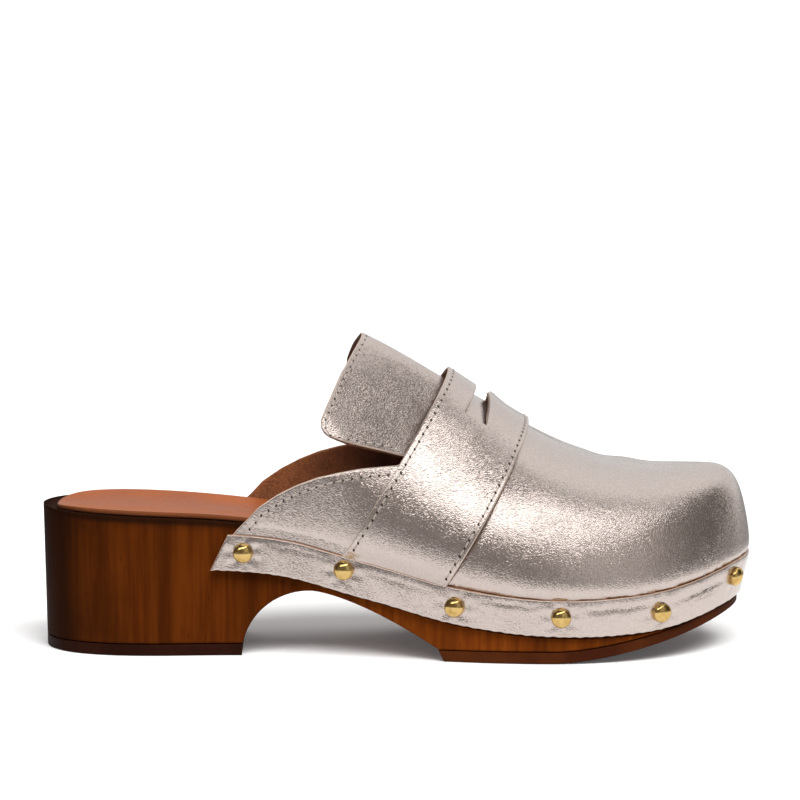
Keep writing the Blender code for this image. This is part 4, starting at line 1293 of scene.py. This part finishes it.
def sewStrap():
    part = np.linspace(-sewing["strapReach"], sewing["strapReach"], 400)
    width = np.linalg.norm(strapAt(np.ones(400), part) - strapAt(np.zeros(400), part), axis=1)
    rear, front = sewing["strapInset"]
    paths, normals = [], []
    for share in (rear / width, 1 - front / width):
        grid = strapAt(share + np.array((-0.01, 0.0, 0.01))[:, None], np.broadcast_to(part, (3, 400)))
        normal = gridNormals(grid)[1]
        paths.append(grid[1] + normal * strapWall(part)[:, None])
        normals.append(normal)
    addSewing("strap", paths, normals)


def sewWings():
    paths, normals = [], []
    along = np.linspace(*sewing["wingRun"], 160)
    drop = sewing["wingInset"] * np.sqrt(1 + np.gradient(topline(along), along) ** 2)
    for side in (outer, inner):
        place = edgePlace(along, side)
        raised = upperShape["innerRaise"] if side == inner else 0.0
        girth = girthAt(place, topline(along) + raised - drop)
        paths.append(openWing(place, skin(place, girth)))
        normals.append(outward(place, girth))
    addSewing("wing", paths, normals, sewing["wingHole"])


def sewTongue():  # up one low edge, round the free end and back along the other
    inset = sewing["tongueInset"]
    runA, _ = arcs(tonguePoints, 0)
    runB, leftB = arcs(tonguePoints, 1)
    cols = tonguePoints.shape[1]
    row = int(np.argmin(np.abs(runA[:, cols // 2] - inset)))
    first = int(np.argmin(np.abs(runB[row] - inset)))
    final = cols - 1 - int(np.argmin(np.abs(leftB[row][::-1] - inset)))
    stop = int(np.argmin(np.abs(runA[:, first] - sewing["tongueReach"])))

    def threeSides(grid):
        return np.concatenate((grid[row:stop, first][::-1], grid[row, first:final], grid[row:stop, final]))

    path, normal = threeSides(tonguePoints), threeSides(gridNormals(tonguePoints))
    addSewing("tongue", [path], [normal], sewing["tongueHole"])


sewStrap()
sewWings()
sewTongue()

# floor, light and camera

floorSheet = {
    "white": 0.93, "glow": 0.07, "radius": 9.0, "corners": 96, "drop": 0.0001,
    "mirrored": (0.80, 0.22), "mirroredEnd": (0.19, 0.36),
}


# white paper to the eye; the leather mirrors a sheet that ends a little way in front of the shoe
def addFloor():
    own = floorSheet
    count = own["corners"]
    turn = np.linspace(0, 2 * np.pi, count, endpoint=False)
    points = np.stack((np.cos(turn), np.sin(turn), np.zeros(count)), axis=1) * own["radius"]
    mesh = bpy.data.meshes.new("studioFloor")
    mesh.from_pydata((points - (0, 0, own["drop"])).tolist(), [], [list(range(count))])
    floor = bpy.data.objects.new("studioFloor", mesh)
    bpy.context.scene.collection.objects.link(floor)
    look, tree, shader, place = newLook("paleFloor")
    away = put(tree, "ShaderNodeVectorMath", {"operation": "LENGTH"}, {0: place}).outputs["Value"]
    mirrored = ramp(tree, away, *own["mirroredEnd"], own["mirrored"])
    seen = tree.nodes.new("ShaderNodeLightPath").outputs["Is Camera Ray"]
    white = ramp(tree, noise(tree, place, 3.0, 2.0), 0.3, 0.7, (own["white"] - 0.01, own["white"]))
    tone = sums(tree, "ADD", sums(tree, "MULTIPLY", white, seen),
                sums(tree, "MULTIPLY", mirrored, sums(tree, "SUBTRACT", 1.0, seen)))
    grey = put(tree, "ShaderNodeCombineColor", None, {0: tone, 1: tone, 2: tone}).outputs[0]
    setInputs(tree, shader, {"Base Color": grey, "Roughness": 0.9, "Specular IOR Level": 0.0,
                             "Emission Color": (1.0, 1.0, 1.0, 1.0),
                             "Emission Strength": sums(tree, "MULTIPLY", seen, own["glow"])})
    mesh.materials.append(look)
    floor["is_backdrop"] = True


# levels of light, and where one gives way to the next, in degrees round from the front and up from the floor
studio = {
    "pale": (0.76, 0.94), "paleRise": (5.0, 60.0),
    "front": (0.17, 0.50), "frontTurn": (-12.0, 22.0), "frontTop": (79.0, 71.0),
    "frontLeft": (-170.0, -140.0),
    "frontRight": (117.0, 97.0), "frontRightRise": (40.0, 56.0), "frontSoft": 9.0,
    "rightFade": (1.0, 0.22), "rightFadeTurn": (38.0, 82.0),
    "overBox": (1.0, 0.35), "overBoxRise": (52.0, 60.0),
    "clutter": (0.25, 1.75), "clutterScale": 11.0, "clutterTone": (0.36, 0.64),
    "right": 0.07, "rightTurn": (80.0, 98.0), "rightEnd": (128.0, 110.0), "rightTop": (56.0, 42.0),
    "left": 0.10, "leftTurn": (-50.0, -80.0), "leftEnd": (-170.0, -140.0), "leftTop": (60.0, 40.0),
    "above": 0.8, "aboveRise": (81.0, 87.0),
    "box": (3.1, 2.6), "boxTurn": (10.0, 60.0), "boxLeft": (-52.0, -38.0), "boxRight": (82.0, 66.0),
    "boxMiddle": 45.3, "boxClimb": 0.28, "boxClimbEnds": (-45.0, 48.0),
    "boxHalf": (8.0, 5.5), "boxHalfTurn": (0.0, 45.0), "boxSoft": 3.0,
    "warm": (1.0, 0.90, 0.84), "warmLight": (0.12, 0.9),  # dim parts are a little warmer
}


# studio light as a function of direction: a pale wall behind the shoe, a dim room in front and at both sides,
# a bright slanted softbox over the camera that climbs towards the toe, and a lamp straight above
def addLight():
    own = studio
    degrees = 57.2958
    world = bpy.data.worlds.new("studioLight")
    bpy.context.scene.world = world
    world.use_nodes = True
    tree = world.node_tree
    tree.nodes.clear()
    way = tree.nodes.new("ShaderNodeTexCoord").outputs["Generated"]
    x, y, z = put(tree, "ShaderNodeSeparateXYZ", None, {0: way}).outputs
    around = sums(tree, "MULTIPLY", sums(tree, "ARCTAN2", x, sums(tree, "MULTIPLY", y, -1.0)), degrees)
    up = sums(tree, "MULTIPLY", sums(tree, "ARCSINE", z, 0.0), degrees)

    def turn(name, to=(0.0, 1.0)):
        return ramp(tree, around, *own[name], to)

    def rise(name, to=(0.0, 1.0)):
        return ramp(tree, up, *own[name], to)

    def both(*masks):
        total = masks[0]
        for mask in masks[1:]:
            total = sums(tree, "MULTIPLY", total, mask)
        return total

    def level(share, one, two):
        return sums(tree, "ADD", one, sums(tree, "MULTIPLY", share, sums(tree, "SUBTRACT", two, one)))

    past = sums(tree, "SUBTRACT", around, rise("frontRightRise", own["frontRight"]))
    front = both(ramp(tree, past, own["frontSoft"], -own["frontSoft"]), turn("frontLeft"), rise("frontTop"))
    dim = both(turn("frontTurn", own["front"]), turn("rightFadeTurn", own["rightFade"]),
               rise("overBoxRise", own["overBox"]))
    clutter = noise(tree, way, own["clutterScale"], 1.0)
    dim = both(dim, ramp(tree, clutter, *own["clutterTone"], own["clutter"], False))
    light = level(front, rise("paleRise", own["pale"]), dim)
    for side in ("right", "left"):
        light = level(both(turn(side + "Turn"), turn(side + "End"), rise(side + "Top")), light, own[side])
    light = level(rise("aboveRise"), light, own["above"])
    lowest, highest = own["boxClimbEnds"]
    sway = put(tree, "ShaderNodeClamp", None, {"Value": around, "Min": lowest, "Max": highest}).outputs[0]
    middle = sums(tree, "ADD", own["boxMiddle"], sums(tree, "MULTIPLY", sway, own["boxClimb"]))
    off = sums(tree, "ABSOLUTE", sums(tree, "SUBTRACT", up, middle), 0.0)
    half = turn("boxHalfTurn", own["boxHalf"])
    inside = ramp(tree, off, sums(tree, "ADD", half, own["boxSoft"]),
                  sums(tree, "SUBTRACT", half, own["boxSoft"]))
    light = level(both(inside, turn("boxLeft"), turn("boxRight")), light, turn("boxTurn", own["box"]))
    light = level(tree.nodes.new("ShaderNodeLightPath").outputs["Is Camera Ray"], light, 1.0)
    tint = blendColour(tree, ramp(tree, light, *own["warmLight"]), own["warm"], (1.0, 1.0, 1.0))
    back = put(tree, "ShaderNodeBackground", None, {"Color": tint, "Strength": light})
    end = tree.nodes.new("ShaderNodeOutputWorld")
    tree.links.new(back.outputs[0], end.inputs[0])


keyLight = {"turn": 18.0, "up": 52.0, "spread": 42.0, "power": 3.2}


# broad soft lamp in front and above, for the matt surfaces and the floor; the leather mirrors the room alone
def addKey():
    own = keyLight
    data = bpy.data.lights.new("keyLight", "SUN")
    data.angle = np.radians(own["spread"])
    data.energy = own["power"]
    lamp = bpy.data.objects.new("keyLight", data)
    bpy.context.scene.collection.objects.link(lamp)
    turn, up = np.radians(own["turn"]), np.radians(own["up"])
    way = np.array((np.sin(turn) * np.cos(up), -np.cos(turn) * np.cos(up), np.sin(up)))
    lamp.location = Vector(way)
    lamp.rotation_euler = Vector(way).to_track_quat("Z", "Y").to_euler()
    lamp.visible_glossy = False


view = {"aim": (127.5, 0.0, 87.52), "away": 2.2, "down": 7.1, "lens": 277.3, "sensor": 36.0, "farEnd": 60.0}


def addCamera():
    data = bpy.data.cameras.new("photoView")
    data.lens = view["lens"]
    data.sensor_width = view["sensor"]
    data.clip_end = view["farEnd"]
    camera = bpy.data.objects.new("photoView", data)
    bpy.context.scene.collection.objects.link(camera)
    down = np.radians(view["down"])
    aim = toRow(view["aim"])
    camera.location = Vector(aim + view["away"] * np.array((0.0, -np.cos(down), np.sin(down))))
    camera.rotation_euler = (np.pi / 2 - down, 0.0, 0.0)
    bpy.context.scene.camera = camera


addFloor()
addLight()
addKey()
addCamera()
bpy.context.scene.view_settings.view_transform = "Standard"
bpy.context.scene.view_settings.look = "None"
print("floor, light and camera placed")

madeBox = [[float(c) for c in corner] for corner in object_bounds()]
madeSize, cadSize = (np.round(np.subtract(box[1], box[0]) * 1000, 1) for box in (madeBox, cadBox))
print("size", madeSize, "against", cadSize)
